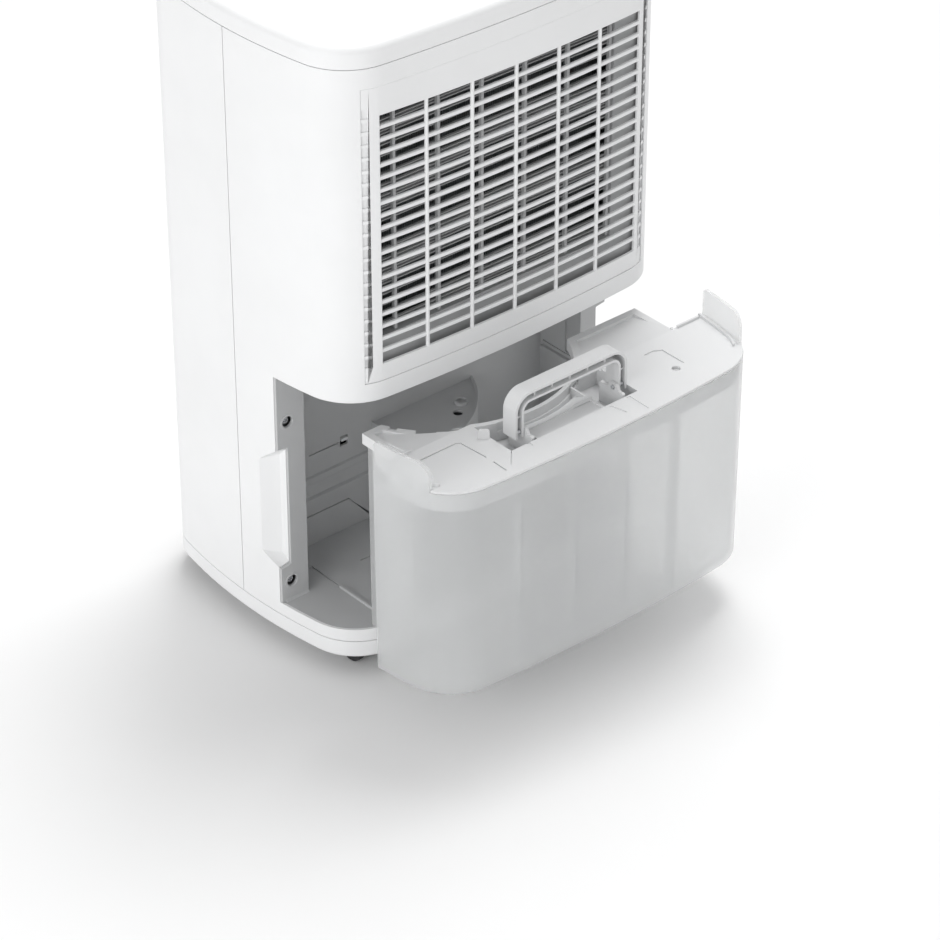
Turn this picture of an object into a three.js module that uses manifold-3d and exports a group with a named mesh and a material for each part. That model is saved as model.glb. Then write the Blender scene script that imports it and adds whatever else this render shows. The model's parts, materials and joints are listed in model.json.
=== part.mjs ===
// A floor-standing compressor dehumidifier on four castors. Its water tank is drawn out of the bay under
// the intake grille and its carrying handle stands up. Millimetres, +Z up, the grille and tank face -Y.
import * as THREE from 'three';
import { mergeVertices } from 'three/addons/utils/BufferGeometryUtils.js';
import Module from 'manifold-3d';

const wasm = await Module();
wasm.setup();

// ---- driving dimensions -------------------------------------------------------------------------
const WIDTH = 386;
const DEPTH = 278.2;
const HEIGHT = 616;
const TANK_FACE_BOW = 10.5;
const SIDE_BOW = 18.2;
const FRONT_BOW = 6;
const TANK_CORNER_R = 51.3;
const FRONT_CORNER_R = 47.2;
const WALL = 2.6;
const GAP = 0.4;

const BASE_BOTTOM = 19.9;
const BASE_TOP = 37.8;
const SILL_TOP = 49.8;
const BAY_TOP = 283.8;
const SHELL_TOP = 596;
const SEAM_Y = 4.3;

const STRIP_Y = -48.5;
const BAY_HALF = 161;
const BAY_BACK_Y = 6;
const BOSS_X = -30;
const BOSS_Y = 52;
const BOSS_R = 117;
const SHELF_Z = 150;
const SHELF_LEFT = -42;

const GRILLE_HALF = 162.4;
const GRILLE_BOTTOM = 301;
const GRILLE_TOP = 578;
const LATTICE_X = 2;
const BAY_PITCH = 47.8;
const LATTICE_BOTTOM = 317.4;
const SLAT_PITCH = 11.7;
const SLAT_COUNT = 20;
const SLAT_TALL = 3.8;
const SLAT_DEEP = 5;
const BAR_WIDE = 4.4;

const TANK_PULL = 128.5;
const TANK_BOTTOM = 50.2;
const TANK_RIM = 255.4;
const LID_TOP = 258;
const LID_REAR_TOP = 250;
const LID_SLOPE_Y = -67.5;
const TANK_WALL = 2.6;
const TANK_REAR_HALF = 154;
const TANK_REAR_Y = 2.5;
const TANK_NOTCH_R = 119;
const EAR_TOP = 283;
const EAR_REAR_Y = -49.5;
const EAR_FRONT_Y = -107.5;
const EAR_THICK = 4;

const HANDLE_X = -10.5;
const HANDLE_HALF = 63.5;
const HANDLE_DEEP = 16;
const HANDLE_BAR = 9.5;
const HANDLE_TOP = 298.5;
const PIVOT_Y = -221 + TANK_PULL;
const PIVOT_Z = 261.8;
const PIVOT_FRONT = 3.3;
const PIN_R = 2;

const CASTOR_X = 146;
const CASTOR_Y = 104;
const WHEEL_R = 14;

// ---- finishes -----------------------------------------------------------------------------------
const finish = (color, roughness, metalness = 0) =>
  () => new THREE.MeshStandardMaterial({ color, roughness, metalness });
const whiteShell = finish(0xf4f5f5, 0.42);
const greyLiner = finish(0xa9acae, 0.55);
const lidGrey = finish(0xd5d7d8, 0.45);
const frosted = finish(0xdfe4e6, 0.35);
const darkPlastic = finish(0x1d1e20, 0.5);
const steel = finish(0xb8bcc0, 0.3, 1);
const aluminium = finish(0xc4c8cc, 0.4, 1);
const copper = finish(0xb87048, 0.35, 1);
const blackPaint = finish(0x17181a, 0.45);
const boardGreen = finish(0x23553a, 0.6);
const smokedGlass = finish(0x22282c, 0.1);

// ---- solids -------------------------------------------------------------------------------------
function solidOf(geometry) {
  const bare = geometry.clone();
  bare.deleteAttribute('normal');
  bare.deleteAttribute('uv');
  const merged = mergeVertices(bare, 1e-4);
  return new wasm.Manifold(new wasm.Mesh({
    numProp: 3,
    vertProperties: new Float32Array(merged.attributes.position.array),
    triVerts: new Uint32Array(merged.index.array),
  }));
}

function geometryOf(solid) {
  const mesh = solid.getMesh();
  const geometry = new THREE.BufferGeometry();
  geometry.setAttribute('position', new THREE.BufferAttribute(new Float32Array(mesh.vertProperties), 3));
  geometry.setIndex(new THREE.BufferAttribute(new Uint32Array(mesh.triVerts), 1));
  return geometry;
}

const join = (...solids) => solids.reduce((whole, next) => whole.add(next));
const cut = (solid, ...tools) => tools.reduce((whole, tool) => whole.subtract(tool), solid);

function box(x0, x1, y0, y1, z0, z1) {
  const geometry = new THREE.BoxGeometry(x1 - x0, y1 - y0, z1 - z0);
  geometry.translate((x0 + x1) / 2, (y0 + y1) / 2, (z0 + z1) / 2);
  return solidOf(geometry);
}

function slab(points, z0, z1) {
  const geometry = new THREE.ExtrudeGeometry(new THREE.Shape(points), {
    depth: z1 - z0, bevelEnabled: false, curveSegments: 8,
  });
  geometry.translate(0, 0, z0);
  return solidOf(geometry);
}

// A profile drawn in the YZ plane and extruded along X.
function beam(points, x0, x1) {
  const geometry = new THREE.ExtrudeGeometry(new THREE.Shape(points), { depth: x1 - x0, bevelEnabled: false });
  const place = new THREE.Matrix4().makeBasis(
    new THREE.Vector3(0, 1, 0), new THREE.Vector3(0, 0, 1), new THREE.Vector3(1, 0, 0));
  geometry.applyMatrix4(place);
  geometry.translate(x0, 0, 0);
  return solidOf(geometry);
}

// A profile drawn in the XZ plane and extruded along Y.
function plate(shape, y0, y1) {
  const geometry = new THREE.ExtrudeGeometry(shape, { depth: y1 - y0, bevelEnabled: false, curveSegments: 6 });
  const place = new THREE.Matrix4().makeBasis(
    new THREE.Vector3(1, 0, 0), new THREE.Vector3(0, 0, 1), new THREE.Vector3(0, -1, 0));
  geometry.applyMatrix4(place);
  geometry.translate(0, y1, 0);
  return solidOf(geometry);
}

const AXES = { x: [0, 0, -Math.PI / 2], y: [0, 0, 0], z: [Math.PI / 2, 0, 0] };

function rod(axis, radius, low, high, centre, sides = 16, topRadius = radius) {
  const geometry = new THREE.CylinderGeometry(topRadius, radius, high - low, sides);
  geometry.rotateX(AXES[axis][0]);
  geometry.rotateZ(AXES[axis][2]);
  const middle = (low + high) / 2;
  const [first, second] = centre;
  if (axis === 'x') geometry.translate(middle, first, second);
  if (axis === 'y') geometry.translate(first, middle, second);
  if (axis === 'z') geometry.translate(first, second, middle);
  return solidOf(geometry);
}

function pipe(points, radius, steps) {
  const curve = new THREE.CatmullRomCurve3(points.map((p) => new THREE.Vector3(...p)));
  const section = new THREE.Shape();
  section.absarc(0, 0, radius, 0, 2 * Math.PI);
  return new THREE.ExtrudeGeometry(section, { steps, curveSegments: 4, extrudePath: curve });
}

// ---- plan outline of the body -------------------------------------------------------------------
const FACE_STEPS = 3;
const CORNER_STEPS = 5;
const HALF_W = WIDTH / 2;
const HALF_D = DEPTH / 2;

// The rounded corner between an end face, bowed by faceBow, and a side bowed by SIDE_BOW.
function corner(radius, faceBow) {
  let cx = HALF_W - radius;
  let cy = HALF_D - radius;
  let face = [0, 0];
  let side = [0, 0];
  for (let pass = 0; pass < 12; pass += 1) {
    let x = cx;
    let faceLean = 0;
    for (let step = 0; step < 4; step += 1) {
      faceLean = Math.atan(2 * faceBow * x / HALF_W ** 2);
      x = cx + radius * Math.sin(faceLean);
    }
    const faceY = HALF_D - faceBow * (x / HALF_W) ** 2;
    cy = faceY - radius * Math.cos(faceLean);
    face = [x, faceY];
    let y = cy;
    let sideLean = 0;
    for (let step = 0; step < 4; step += 1) {
      sideLean = Math.atan(2 * SIDE_BOW * y / HALF_D ** 2);
      y = cy + radius * Math.sin(sideLean);
    }
    const sideX = HALF_W - SIDE_BOW * (y / HALF_D) ** 2;
    cx = sideX - radius * Math.cos(sideLean);
    side = [sideX, y];
  }
  return { cx, cy, radius, face, side };
}

// The right half of one end, from the middle of the end face round to the side, drawn with +Y outwards.
function endHalf(radius, faceBow) {
  const { cx, cy, face, side } = corner(radius, faceBow);
  const points = [];
  for (let i = 0; i < FACE_STEPS; i += 1) {
    const x = face[0] * i / FACE_STEPS;
    points.push([x, HALF_D - faceBow * (x / HALF_W) ** 2]);
  }
  const from = Math.atan2(face[1] - cy, face[0] - cx);
  const to = Math.atan2(side[1] - cy, side[0] - cx);
  for (let i = 0; i <= CORNER_STEPS; i += 1) {
    const angle = from + (to - from) * i / CORNER_STEPS;
    points.push([cx + radius * Math.cos(angle), cy + radius * Math.sin(angle)]);
  }
  for (let i = 1; i < 3; i += 1) {
    const y = side[1] * (1 - i / 3);
    points.push([HALF_W - SIDE_BOW * (y / HALF_D) ** 2, y]);
  }
  return points;
}

function bodyOutline(inset = 0) {
  const tankEnd = endHalf(TANK_CORNER_R, TANK_FACE_BOW).map(([x, y]) => [x, -y]);
  const frontEnd = endHalf(FRONT_CORNER_R, FRONT_BOW);
  const right = [...tankEnd, [HALF_W, 0], ...frontEnd.reverse()];
  const left = right.slice(1, -1).reverse().map(([x, y]) => [-x, y]);
  const ring = [...right, ...left];
  return ring.map(([x, y], i) => {
    const before = ring[(i + ring.length - 1) % ring.length];
    const after = ring[(i + 1) % ring.length];
    const along = new THREE.Vector2(after[0] - before[0], after[1] - before[1]).normalize();
    return new THREE.Vector2(x - along.y * inset, y + along.x * inset);
  });
}

const prism = (inset, z0, z1) => slab(bodyOutline(inset), z0, z1);
const FAR = 400;
const aheadOf = (y, z0, z1) => box(-FAR, FAR, -FAR, y, z0, z1);
const behind = (y, z0, z1) => box(-FAR, FAR, y, FAR, z0, z1);

// ---- the model ----------------------------------------------------------------------------------
const machine = new THREE.Group();
machine.position.y = TANK_PULL / 2;
const tankGroup = new THREE.Group();
tankGroup.position.y = -TANK_PULL;
machine.add(tankGroup);

function place(parent, name, shape, material) {
  const geometry = shape.isBufferGeometry ? shape : geometryOf(shape);
  const mesh = new THREE.Mesh(geometry, material());
  mesh.name = name;
  parent.add(mesh);
  return mesh;
}

// ---- housing ------------------------------------------------------------------------------------
const castorSpots = [[-1, -1], [1, -1], [-1, 1], [1, 1]].map(([sx, sy]) => [sx * CASTOR_X, sy * CASTOR_Y]);
const STEM_R = 4;
const DECK_BOTTOM = 31.5;

function basePan() {
  let pan = cut(prism(0, BASE_BOTTOM, BASE_TOP - GAP), prism(4, BASE_BOTTOM - 1, DECK_BOTTOM));
  for (const [x, y] of castorSpots) {
    pan = cut(pan, rod('z', STEM_R + 0.5, DECK_BOTTOM - 1, BASE_TOP + 1, [x, y], 12));
  }
  return pan;
}
place(machine, 'base_pan', basePan(), whiteShell);

// The finger recess at the front edge of each side wall, as a cutter and the pad it is cut from.
const SCOOP = { floorX: 180, bottom: 84, top: 213, floorRearY: -37, rearY: -20 };
const STRIP_THICK = 2.4;
const STRIP_REAR_Y = STRIP_Y + STRIP_THICK;
function scoop(side, grow) {
  const clear = HALF_W + 6;
  const plan = [
    [clear, STRIP_Y - 2], [SCOOP.floorX - grow, STRIP_Y - 2],
    [SCOOP.floorX - grow, SCOOP.floorRearY + grow], [clear, SCOOP.rearY + grow],
  ].map(([x, y]) => new THREE.Vector2(side * x, y));
  if (side < 0) plan.reverse();
  return slab(plan, SCOOP.bottom - grow, SCOOP.top + grow);
}

function rearShell() {
  const wall = cut(prism(0, BASE_TOP, SHELL_TOP), prism(WALL, BASE_TOP - 1, SHELL_TOP + 1));
  let shell = cut(wall, behind(SEAM_Y - GAP / 2, 0, HEIGHT + 10));
  for (const side of [-1, 1]) {
    const inside = prism(0.2, BASE_TOP, SHELL_TOP);
    const pad = scoop(side, WALL).intersect(inside);
    shell = cut(join(shell, pad), scoop(side, 0));
  }
  shell = cut(shell, aheadOf(STRIP_REAR_Y + GAP, SILL_TOP, BAY_TOP));
  const window = box(-GRILLE_HALF, GRILLE_HALF, -FAR, -90, GRILLE_BOTTOM, GRILLE_TOP);
  return cut(shell, window);
}
place(machine, 'rear_shell', rearShell(), whiteShell);

const GLAND = { y: 60, z: 78, r: 7 };
function frontShell() {
  const wall = cut(prism(0, BASE_TOP, SHELL_TOP), prism(WALL, BASE_TOP - 1, SHELL_TOP + 1));
  const shell = cut(wall, aheadOf(SEAM_Y + GAP / 2, 0, HEIGHT + 10));
  return cut(shell, rod('x', GLAND.r + GAP, HALF_W - 20, HALF_W + 5, [GLAND.y, GLAND.z]));
}
place(machine, 'front_shell', frontShell(), whiteShell);

const OUTLET = { x: 120, y0: 36, y1: 92 };
const PANEL = { x: 96, y0: -70, y1: -14 };
const COVER_BEVEL = 7;
function topCover() {
  const skin = new THREE.ExtrudeGeometry(new THREE.Shape(bodyOutline(COVER_BEVEL)), {
    depth: HEIGHT - SHELL_TOP - GAP - COVER_BEVEL, bevelEnabled: true, bevelThickness: COVER_BEVEL,
    bevelSize: COVER_BEVEL, bevelSegments: 2,
  });
  skin.translate(0, 0, SHELL_TOP + GAP);
  const dome = cut(solidOf(skin), box(-FAR, FAR, -FAR, FAR, 0, SHELL_TOP + GAP));
  return cut(
    dome,
    prism(COVER_BEVEL + 3, SHELL_TOP - 1, HEIGHT - 4),
    box(-OUTLET.x, OUTLET.x, OUTLET.y0, OUTLET.y1, HEIGHT - 8, HEIGHT + 1),
    box(-PANEL.x, PANEL.x, PANEL.y0, PANEL.y1, HEIGHT - 8, HEIGHT + 1),
  );
}
place(machine, 'top_cover', topCover(), whiteShell);

// ---- tank bay -----------------------------------------------------------------------------------
const LINER_INSET = WALL + 0.5;
const LINER_TOP = BAY_TOP + 3.2;
const LINER_WALL = 2.4;
const LINER_REAR_Y = BAY_BACK_Y + LINER_WALL;
const LINER_FOOT = SILL_TOP - 3;
const STRIP_HOLE_R = 4.6;
const SHELF_HOLE = { x: 28, y: -32, r: 4.6 };
const SWITCH = { x: -74, y: BAY_BACK_Y + 9, z: 144, slotHalf: 4.4 };
const STRIP_SCREWS = [[-179, 69.6], [-179, 234.7], [179, 69.6], [179, 234.7]];

function tankBayLiner() {
  const inner = prism(LINER_INSET, BASE_TOP + GAP, LINER_TOP);
  const floor = inner.intersect(aheadOf(LINER_REAR_Y, LINER_FOOT, SILL_TOP - 0.2));
  const ceiling = inner.intersect(aheadOf(LINER_REAR_Y, BAY_TOP + GAP, LINER_TOP));
  const back = box(-BAY_HALF - 2, BAY_HALF + 2, BAY_BACK_Y, LINER_REAR_Y, LINER_FOOT, LINER_TOP);
  let liner = join(floor, ceiling, back);
  for (const side of [-1, 1]) {
    const low = Math.min(side * BAY_HALF, side * (BAY_HALF + LINER_WALL));
    const sideWall = box(low, low + LINER_WALL, STRIP_Y, BAY_BACK_Y + 1, LINER_FOOT, LINER_TOP);
    const edge = side * FAR;
    const outside = box(Math.min(side * BAY_HALF, edge), Math.max(side * BAY_HALF, edge),
      STRIP_Y, STRIP_REAR_Y, LINER_FOOT, LINER_TOP);
    const strip = join(inner, prism(GAP, SILL_TOP + GAP, BAY_TOP - GAP)).intersect(outside);
    liner = join(liner, sideWall, cut(strip, scoop(side, GAP)));
  }
  const bossFront = rod('z', BOSS_R, SILL_TOP - 1, SHELF_Z, [BOSS_X, BOSS_Y], 48)
    .intersect(box(SHELF_LEFT, FAR, -FAR, BAY_BACK_Y + 1, 0, SHELF_Z));
  const bossCore = rod('z', BOSS_R - LINER_WALL, SILL_TOP - 8, SHELF_Z - LINER_WALL, [BOSS_X, BOSS_Y], 48)
    .intersect(box(SHELF_LEFT + LINER_WALL, FAR, -FAR, BAY_BACK_Y + 5, 0, SHELF_Z - LINER_WALL));
  liner = cut(join(liner, bossFront), bossCore);
  for (const [x, z] of STRIP_SCREWS) {
    liner = cut(liner, rod('y', STRIP_HOLE_R, STRIP_Y - 1, STRIP_Y + 4, [x, z], 12));
  }
  const switchSlot = box(SWITCH.x - SWITCH.slotHalf, SWITCH.x + SWITCH.slotHalf,
    BAY_BACK_Y - 1, BAY_BACK_Y + 4, SWITCH.z - 6, SWITCH.z + 6);
  const shelfHole = rod('z', SHELF_HOLE.r, SHELF_Z - 5, SHELF_Z + 1, [SHELF_HOLE.x, SHELF_HOLE.y], 16);
  return cut(liner, shelfHole, switchSlot);
}
place(machine, 'tank_bay_liner', tankBayLiner(), greyLiner);

STRIP_SCREWS.forEach(([x, z], i) => {
  const y = STRIP_Y + 2.8;
  const screw = cut(
    join(rod('y', 4, y, y + 2.4, [x, z], 12), rod('y', 1.8, y + 2, y + 9, [x, z], 12)),
    box(x - 2.6, x + 2.6, y - 1, y + 1.2, z - 0.5, z + 0.5),
    box(x - 0.5, x + 0.5, y - 1, y + 1.2, z - 2.6, z + 2.6),
  );
  place(machine, `strip_screw_${i + 1}`, screw, steel);
});

// ---- tank-present switch ------------------------------------------------------------------------
place(machine, 'tank_switch', cut(
  box(SWITCH.x - 9, SWITCH.x + 9, SWITCH.y + 2, SWITCH.y + 14, SWITCH.z - 12, SWITCH.z + 6),
  box(SWITCH.x - 5, SWITCH.x + 5, SWITCH.y + 1, SWITCH.y + 7, SWITCH.z - 9, SWITCH.z + 7),
  rod('x', 1.6, SWITCH.x - 7, SWITCH.x + 7, [SWITCH.y + 4.5, SWITCH.z - 6.5], 12),
), darkPlastic);
place(machine, 'tank_switch_lever', join(
  rod('x', 1.5, SWITCH.x - 6, SWITCH.x + 6, [SWITCH.y + 4.5, SWITCH.z - 6.5], 12),
  box(SWITCH.x - 3.4, SWITCH.x + 3.4, SWITCH.y + 3.4, SWITCH.y + 5.6, SWITCH.z - 6.5, SWITCH.z + 4),
  box(SWITCH.x - 3.4, SWITCH.x + 3.4, BAY_BACK_Y - 1.4, SWITCH.y + 5.6, SWITCH.z + 1.6, SWITCH.z + 4),
), whiteShell);

// ---- intake side --------------------------------------------------------------------------------
const faceY = (x) => -HALF_D + TANK_FACE_BOW * (x / HALF_W) ** 2;
const LATTICE_TOP = LATTICE_BOTTOM + SLAT_COUNT * SLAT_PITCH;
const LATTICE_HALF = 3 * BAY_PITCH;

function intakeGrille() {
  const skin = cut(prism(0.6, GRILLE_BOTTOM + GAP, GRILLE_TOP - GAP), prism(3.4, 0, HEIGHT))
    .intersect(box(-GRILLE_HALF + GAP, GRILLE_HALF - GAP, -FAR, -90, 0, HEIGHT));
  let grille = cut(skin, box(LATTICE_X - LATTICE_HALF, LATTICE_X + LATTICE_HALF, -FAR, -90,
    LATTICE_BOTTOM, LATTICE_TOP));
  for (let bay = -3; bay < 3; bay += 1) {
    const x0 = LATTICE_X + bay * BAY_PITCH;
    const x1 = x0 + BAY_PITCH;
    const y0 = faceY(x0) + 1;
    const y1 = faceY(x1) + 1;
    for (let row = 1; row < SLAT_COUNT; row += 1) {
      const z = LATTICE_BOTTOM + row * SLAT_PITCH - SLAT_TALL / 2;
      const plan = [[x0 - 0.3, y0], [x1 + 0.3, y1], [x1 + 0.3, y1 + SLAT_DEEP], [x0 - 0.3, y0 + SLAT_DEEP]]
        .map(([x, y]) => new THREE.Vector2(x, y));
      grille = grille.add(slab(plan, z, z + SLAT_TALL));
    }
  }
  for (let bar = -2; bar < 3; bar += 1) {
    const x = LATTICE_X + bar * BAY_PITCH;
    const y = faceY(x) + 0.8;
    grille = grille.add(box(x - BAR_WIDE / 2, x + BAR_WIDE / 2, y, y + SLAT_DEEP + 1.5,
      LATTICE_BOTTOM - 2, LATTICE_TOP + 2));
  }
  return grille;
}
place(machine, 'intake_grille', intakeGrille(), whiteShell);

function airFilter() {
  const y0 = -122;
  const y1 = -118;
  const half = LATTICE_HALF + 4;
  const z0 = LATTICE_BOTTOM - 8;
  const z1 = LATTICE_TOP + 8;
  let frame = cut(box(-half, half, y0, y1, z0, z1),
    box(-half + 8, half - 8, y0 - 1, y1 + 1, z0 + 30, z1 - 8));
  for (let rib = -2.5; rib < 3; rib += 1) {
    frame = frame.add(box(rib * BAY_PITCH - 1.6, rib * BAY_PITCH + 1.6, y0, y1, z0 + 2, z1 - 2));
  }
  const rows = 4;
  for (let row = 1; row < rows; row += 1) {
    const z = z0 + 30 + (z1 - z0 - 38) * row / rows;
    frame = frame.add(box(-half + 2, half - 2, y0, y1, z - 1.2, z + 1.2));
  }
  return frame;
}
place(machine, 'air_filter', airFilter(), darkPlastic);

// A finned block with end plates and the return bends of its tube at one end.
function coil(y0, y1, z0, z1, half) {
  const middle = (y0 + y1) / 2;
  let block = join(
    box(-half, half, y0 + 2, y1 - 2, z0, z1),
    box(-half - 2, -half + 2, y0, y1, z0 - 3, z1 + 3),
    box(half - 2, half + 2, y0, y1, z0 - 3, z1 + 3),
  );
  for (let row = 0; row < 5; row += 1) {
    const z = z0 + (z1 - z0) * (row + 0.5) / 5;
    block = join(block, box(half, half + 9, middle - 4, middle + 4, z - 14, z + 14));
  }
  return block;
}
const COIL_LOW = 312;
const COIL_HIGH = 560;
place(machine, 'evaporator_coil', coil(-110, -84, COIL_LOW, COIL_HIGH, 138), aluminium);
place(machine, 'condenser_coil', coil(-78, -50, COIL_LOW, COIL_HIGH, 138), aluminium);

const TRAY = { half: 148, y0: -112, y1: -48, z0: 291, z1: 307 };
place(machine, 'drip_tray', cut(
  box(-TRAY.half, TRAY.half, TRAY.y0, TRAY.y1, TRAY.z0, TRAY.z1),
  box(-TRAY.half + 3, TRAY.half - 3, TRAY.y0 + 3, TRAY.y1 - 3, TRAY.z0 + 3, TRAY.z1 + 1),
  rod('z', 6, TRAY.z0 - 1, TRAY.z0 + 4, [-60, -64], 16),
), darkPlastic);

// ---- fan ----------------------------------------------------------------------------------------
const FAN = { z: 436, y0: -6, y1: 42, r: 112 };
function fanShroud() {
  const plateBody = box(-150, 150, -44, -40, 300, 574);
  const mouth = rod('y', 92, -46, -38, [0, FAN.z], 28);
  const drum = cut(
    rod('y', FAN.r + 16, -41, FAN.y1 + 14, [0, FAN.z], 28),
    rod('y', FAN.r + 13, -50, FAN.y1 + 20, [0, FAN.z], 28),
    box(-FAR, FAR, -38, FAR, FAN.z + 60, FAN.z + 300),
  );
  return join(cut(plateBody, mouth), drum);
}
place(machine, 'fan_shroud', fanShroud(), darkPlastic);

function fanWheel() {
  const backDisc = rod('y', FAN.r, FAN.y1 - 3, FAN.y1, [0, FAN.z], 24);
  const frontRing = cut(
    rod('y', FAN.r, FAN.y0, FAN.y0 + 3, [0, FAN.z], 24), rod('y', 90, FAN.y0 - 1, FAN.y0 + 4, [0, FAN.z], 24));
  let wheel = join(backDisc, frontRing, rod('y', 16, FAN.y1 - 24, FAN.y1, [0, FAN.z], 20));
  const blades = 14;
  for (let i = 0; i < blades; i += 1) {
    const blade = new THREE.BoxGeometry(17, FAN.y1 - FAN.y0 - 2, 2.2);
    blade.rotateY(0.5);
    blade.translate(101, (FAN.y0 + FAN.y1) / 2, 0);
    blade.rotateY(2 * Math.PI * i / blades);
    blade.translate(0, 0, FAN.z);
    wheel = wheel.add(solidOf(blade));
  }
  return cut(wheel, rod('y', 4.4, FAN.y0 - 40, FAN.y1 + 2, [0, FAN.z], 16));
}
place(machine, 'fan_wheel', fanWheel(), whiteShell);

place(machine, 'fan_motor', join(
  rod('y', 46, FAN.y1 + 8, FAN.y1 + 56, [0, FAN.z], 32),
  rod('y', 14, FAN.y1 + 3, FAN.y1 + 10, [0, FAN.z], 20),
  rod('y', 4, FAN.y1 - 24, FAN.y1 + 10, [0, FAN.z], 16),
  box(-64, 64, FAN.y1 + 30, FAN.y1 + 36, FAN.z - 8, FAN.z + 8),
), steel);

// ---- refrigerant circuit ------------------------------------------------------------------------
const COMPRESSOR = { x: -20, y: 68, r: 52, z0: 66, z1: 214 };
place(machine, 'compressor', join(
  rod('z', COMPRESSOR.r, COMPRESSOR.z0 + 14, COMPRESSOR.z1 - 14, [COMPRESSOR.x, COMPRESSOR.y], 24),
  rod('z', COMPRESSOR.r, COMPRESSOR.z1 - 14, COMPRESSOR.z1, [COMPRESSOR.x, COMPRESSOR.y], 24, 34),
  rod('z', 34, COMPRESSOR.z0, COMPRESSOR.z0 + 14, [COMPRESSOR.x, COMPRESSOR.y], 24, COMPRESSOR.r),
  box(COMPRESSOR.x - 56, COMPRESSOR.x + 56, COMPRESSOR.y - 40, COMPRESSOR.y + 40,
    COMPRESSOR.z0 - 4, COMPRESSOR.z0 + 1),
), blackPaint);

const feetSpots = [[-50, -34], [50, -34], [-50, 34], [50, 34]];
feetSpots.forEach(([x, y], i) => {
  place(machine, `compressor_foot_${i + 1}`, rod('z', 8,
    SILL_TOP - 9, COMPRESSOR.z0 - 4 - GAP, [COMPRESSOR.x + x, COMPRESSOR.y + y], 20), darkPlastic);
});
place(machine, 'compressor_shelf', box(-110, 110, 12, 122, BASE_TOP + 0.3, SILL_TOP - 9 - GAP), steel);

place(machine, 'discharge_pipe', pipe([
  [COMPRESSOR.x + 30, COMPRESSOR.y - 30, 218], [60, 36, 246], [130, 34, 262], [161, 24, 300], [160, -30, 330],
  [152, -62, 345],
], 3.5, 14), copper);
place(machine, 'suction_pipe', pipe([
  [COMPRESSOR.x - 30, COMPRESSOR.y - 26, 220], [-80, 36, 250], [-140, 34, 268], [-162, 24, 305], [-162, -50, 330],
  [-150, -94, 345],
], 4.5, 14), copper);
place(machine, 'run_capacitor', rod('z', 18, 60, 140, [110, 84], 24), aluminium);

// ---- power inlet --------------------------------------------------------------------------------
place(machine, 'power_inlet_gland', cut(
  join(
    rod('x', GLAND.r, HALF_W - 16, HALF_W - 3.2, [GLAND.y, GLAND.z]),
    rod('x', GLAND.r + 3, HALF_W - 16, HALF_W - 10, [GLAND.y, GLAND.z]),
  ),
  rod('x', 3.8, HALF_W - 20, HALF_W + 4, [GLAND.y, GLAND.z], 16),
), darkPlastic);

// ---- outlet on the top --------------------------------------------------------------------------
const LOUVRE = { y: OUTLET.y0 + 6, z: HEIGHT - 6, r: 3 };
function outletGrille() {
  const z0 = HEIGHT - 34;
  const z1 = HEIGHT - 12;
  let grid = cut(box(-OUTLET.x - 4, OUTLET.x + 4, OUTLET.y0 - 4, OUTLET.y1 + 4, z0, z1),
    box(-OUTLET.x, OUTLET.x, OUTLET.y0, OUTLET.y1, z0 - 1, z1 + 1));
  for (let i = -5; i <= 5; i += 1) {
    grid = grid.add(box(i * 20 - 1, i * 20 + 1, OUTLET.y0 - 2, OUTLET.y1 + 2, z0 + 3, z1 - 6));
  }
  return grid;
}
place(machine, 'outlet_grille', outletGrille(), whiteShell);

place(machine, 'outlet_louvre', join(
  rod('x', LOUVRE.r, -OUTLET.x + 1, OUTLET.x - 1, [LOUVRE.y, LOUVRE.z], 16),
  box(-OUTLET.x + 1, OUTLET.x - 1, LOUVRE.y, OUTLET.y1 - 1, HEIGHT - 4.6, HEIGHT - 1.6),
), whiteShell);
place(machine, 'louvre_motor', join(
  rod('x', 12, OUTLET.x + 8, OUTLET.x + 24, [LOUVRE.y, LOUVRE.z - 12], 24),
  rod('x', 2, OUTLET.x + 5, OUTLET.x + 10, [LOUVRE.y, LOUVRE.z - 8], 12),
), darkPlastic);

// ---- controls -----------------------------------------------------------------------------------
const BUTTONS = ['power', 'mode', 'fan', 'down', 'up'];
const BUTTON_R = 8;
const BUTTON_TRAVEL = 1.5;
const buttonSpot = (i) => [-64 + i * 32, PANEL.y0 + 16];
const DISPLAY = { half: 26, y0: PANEL.y1 - 24, y1: PANEL.y1 - 8 };

function controlPanel() {
  let panel = box(-PANEL.x + GAP, PANEL.x - GAP, PANEL.y0 + GAP, PANEL.y1 - GAP, HEIGHT - 3.6, HEIGHT - 1);
  BUTTONS.forEach((name, i) => {
    panel = cut(panel, rod('z', BUTTON_R + GAP, HEIGHT - 5, HEIGHT + 1, buttonSpot(i), 16));
  });
  return cut(panel, box(-DISPLAY.half - GAP, DISPLAY.half + GAP, DISPLAY.y0 - GAP, DISPLAY.y1 + GAP,
    HEIGHT - 5, HEIGHT + 1));
}
place(machine, 'control_panel', controlPanel(), darkPlastic);
place(machine, 'display_window', box(-DISPLAY.half, DISPLAY.half, DISPLAY.y0, DISPLAY.y1,
  HEIGHT - 3.4, HEIGHT - 1.2), smokedGlass);
BUTTONS.forEach((name, i) => {
  const [x, y] = buttonSpot(i);
  const cap = join(
    rod('z', BUTTON_R, HEIGHT - 6.4, HEIGHT - 0.4, [x, y], 16),
    rod('z', BUTTON_R + 2, HEIGHT - 6.4, HEIGHT - 4.2, [x, y], 16),
  );
  place(machine, `${name}_button`, cap, whiteShell);
});
place(machine, 'control_board', box(-88, 88, PANEL.y0 + 2, PANEL.y1 - 2, HEIGHT - 11.6, HEIGHT - 10), boardGreen);

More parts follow.
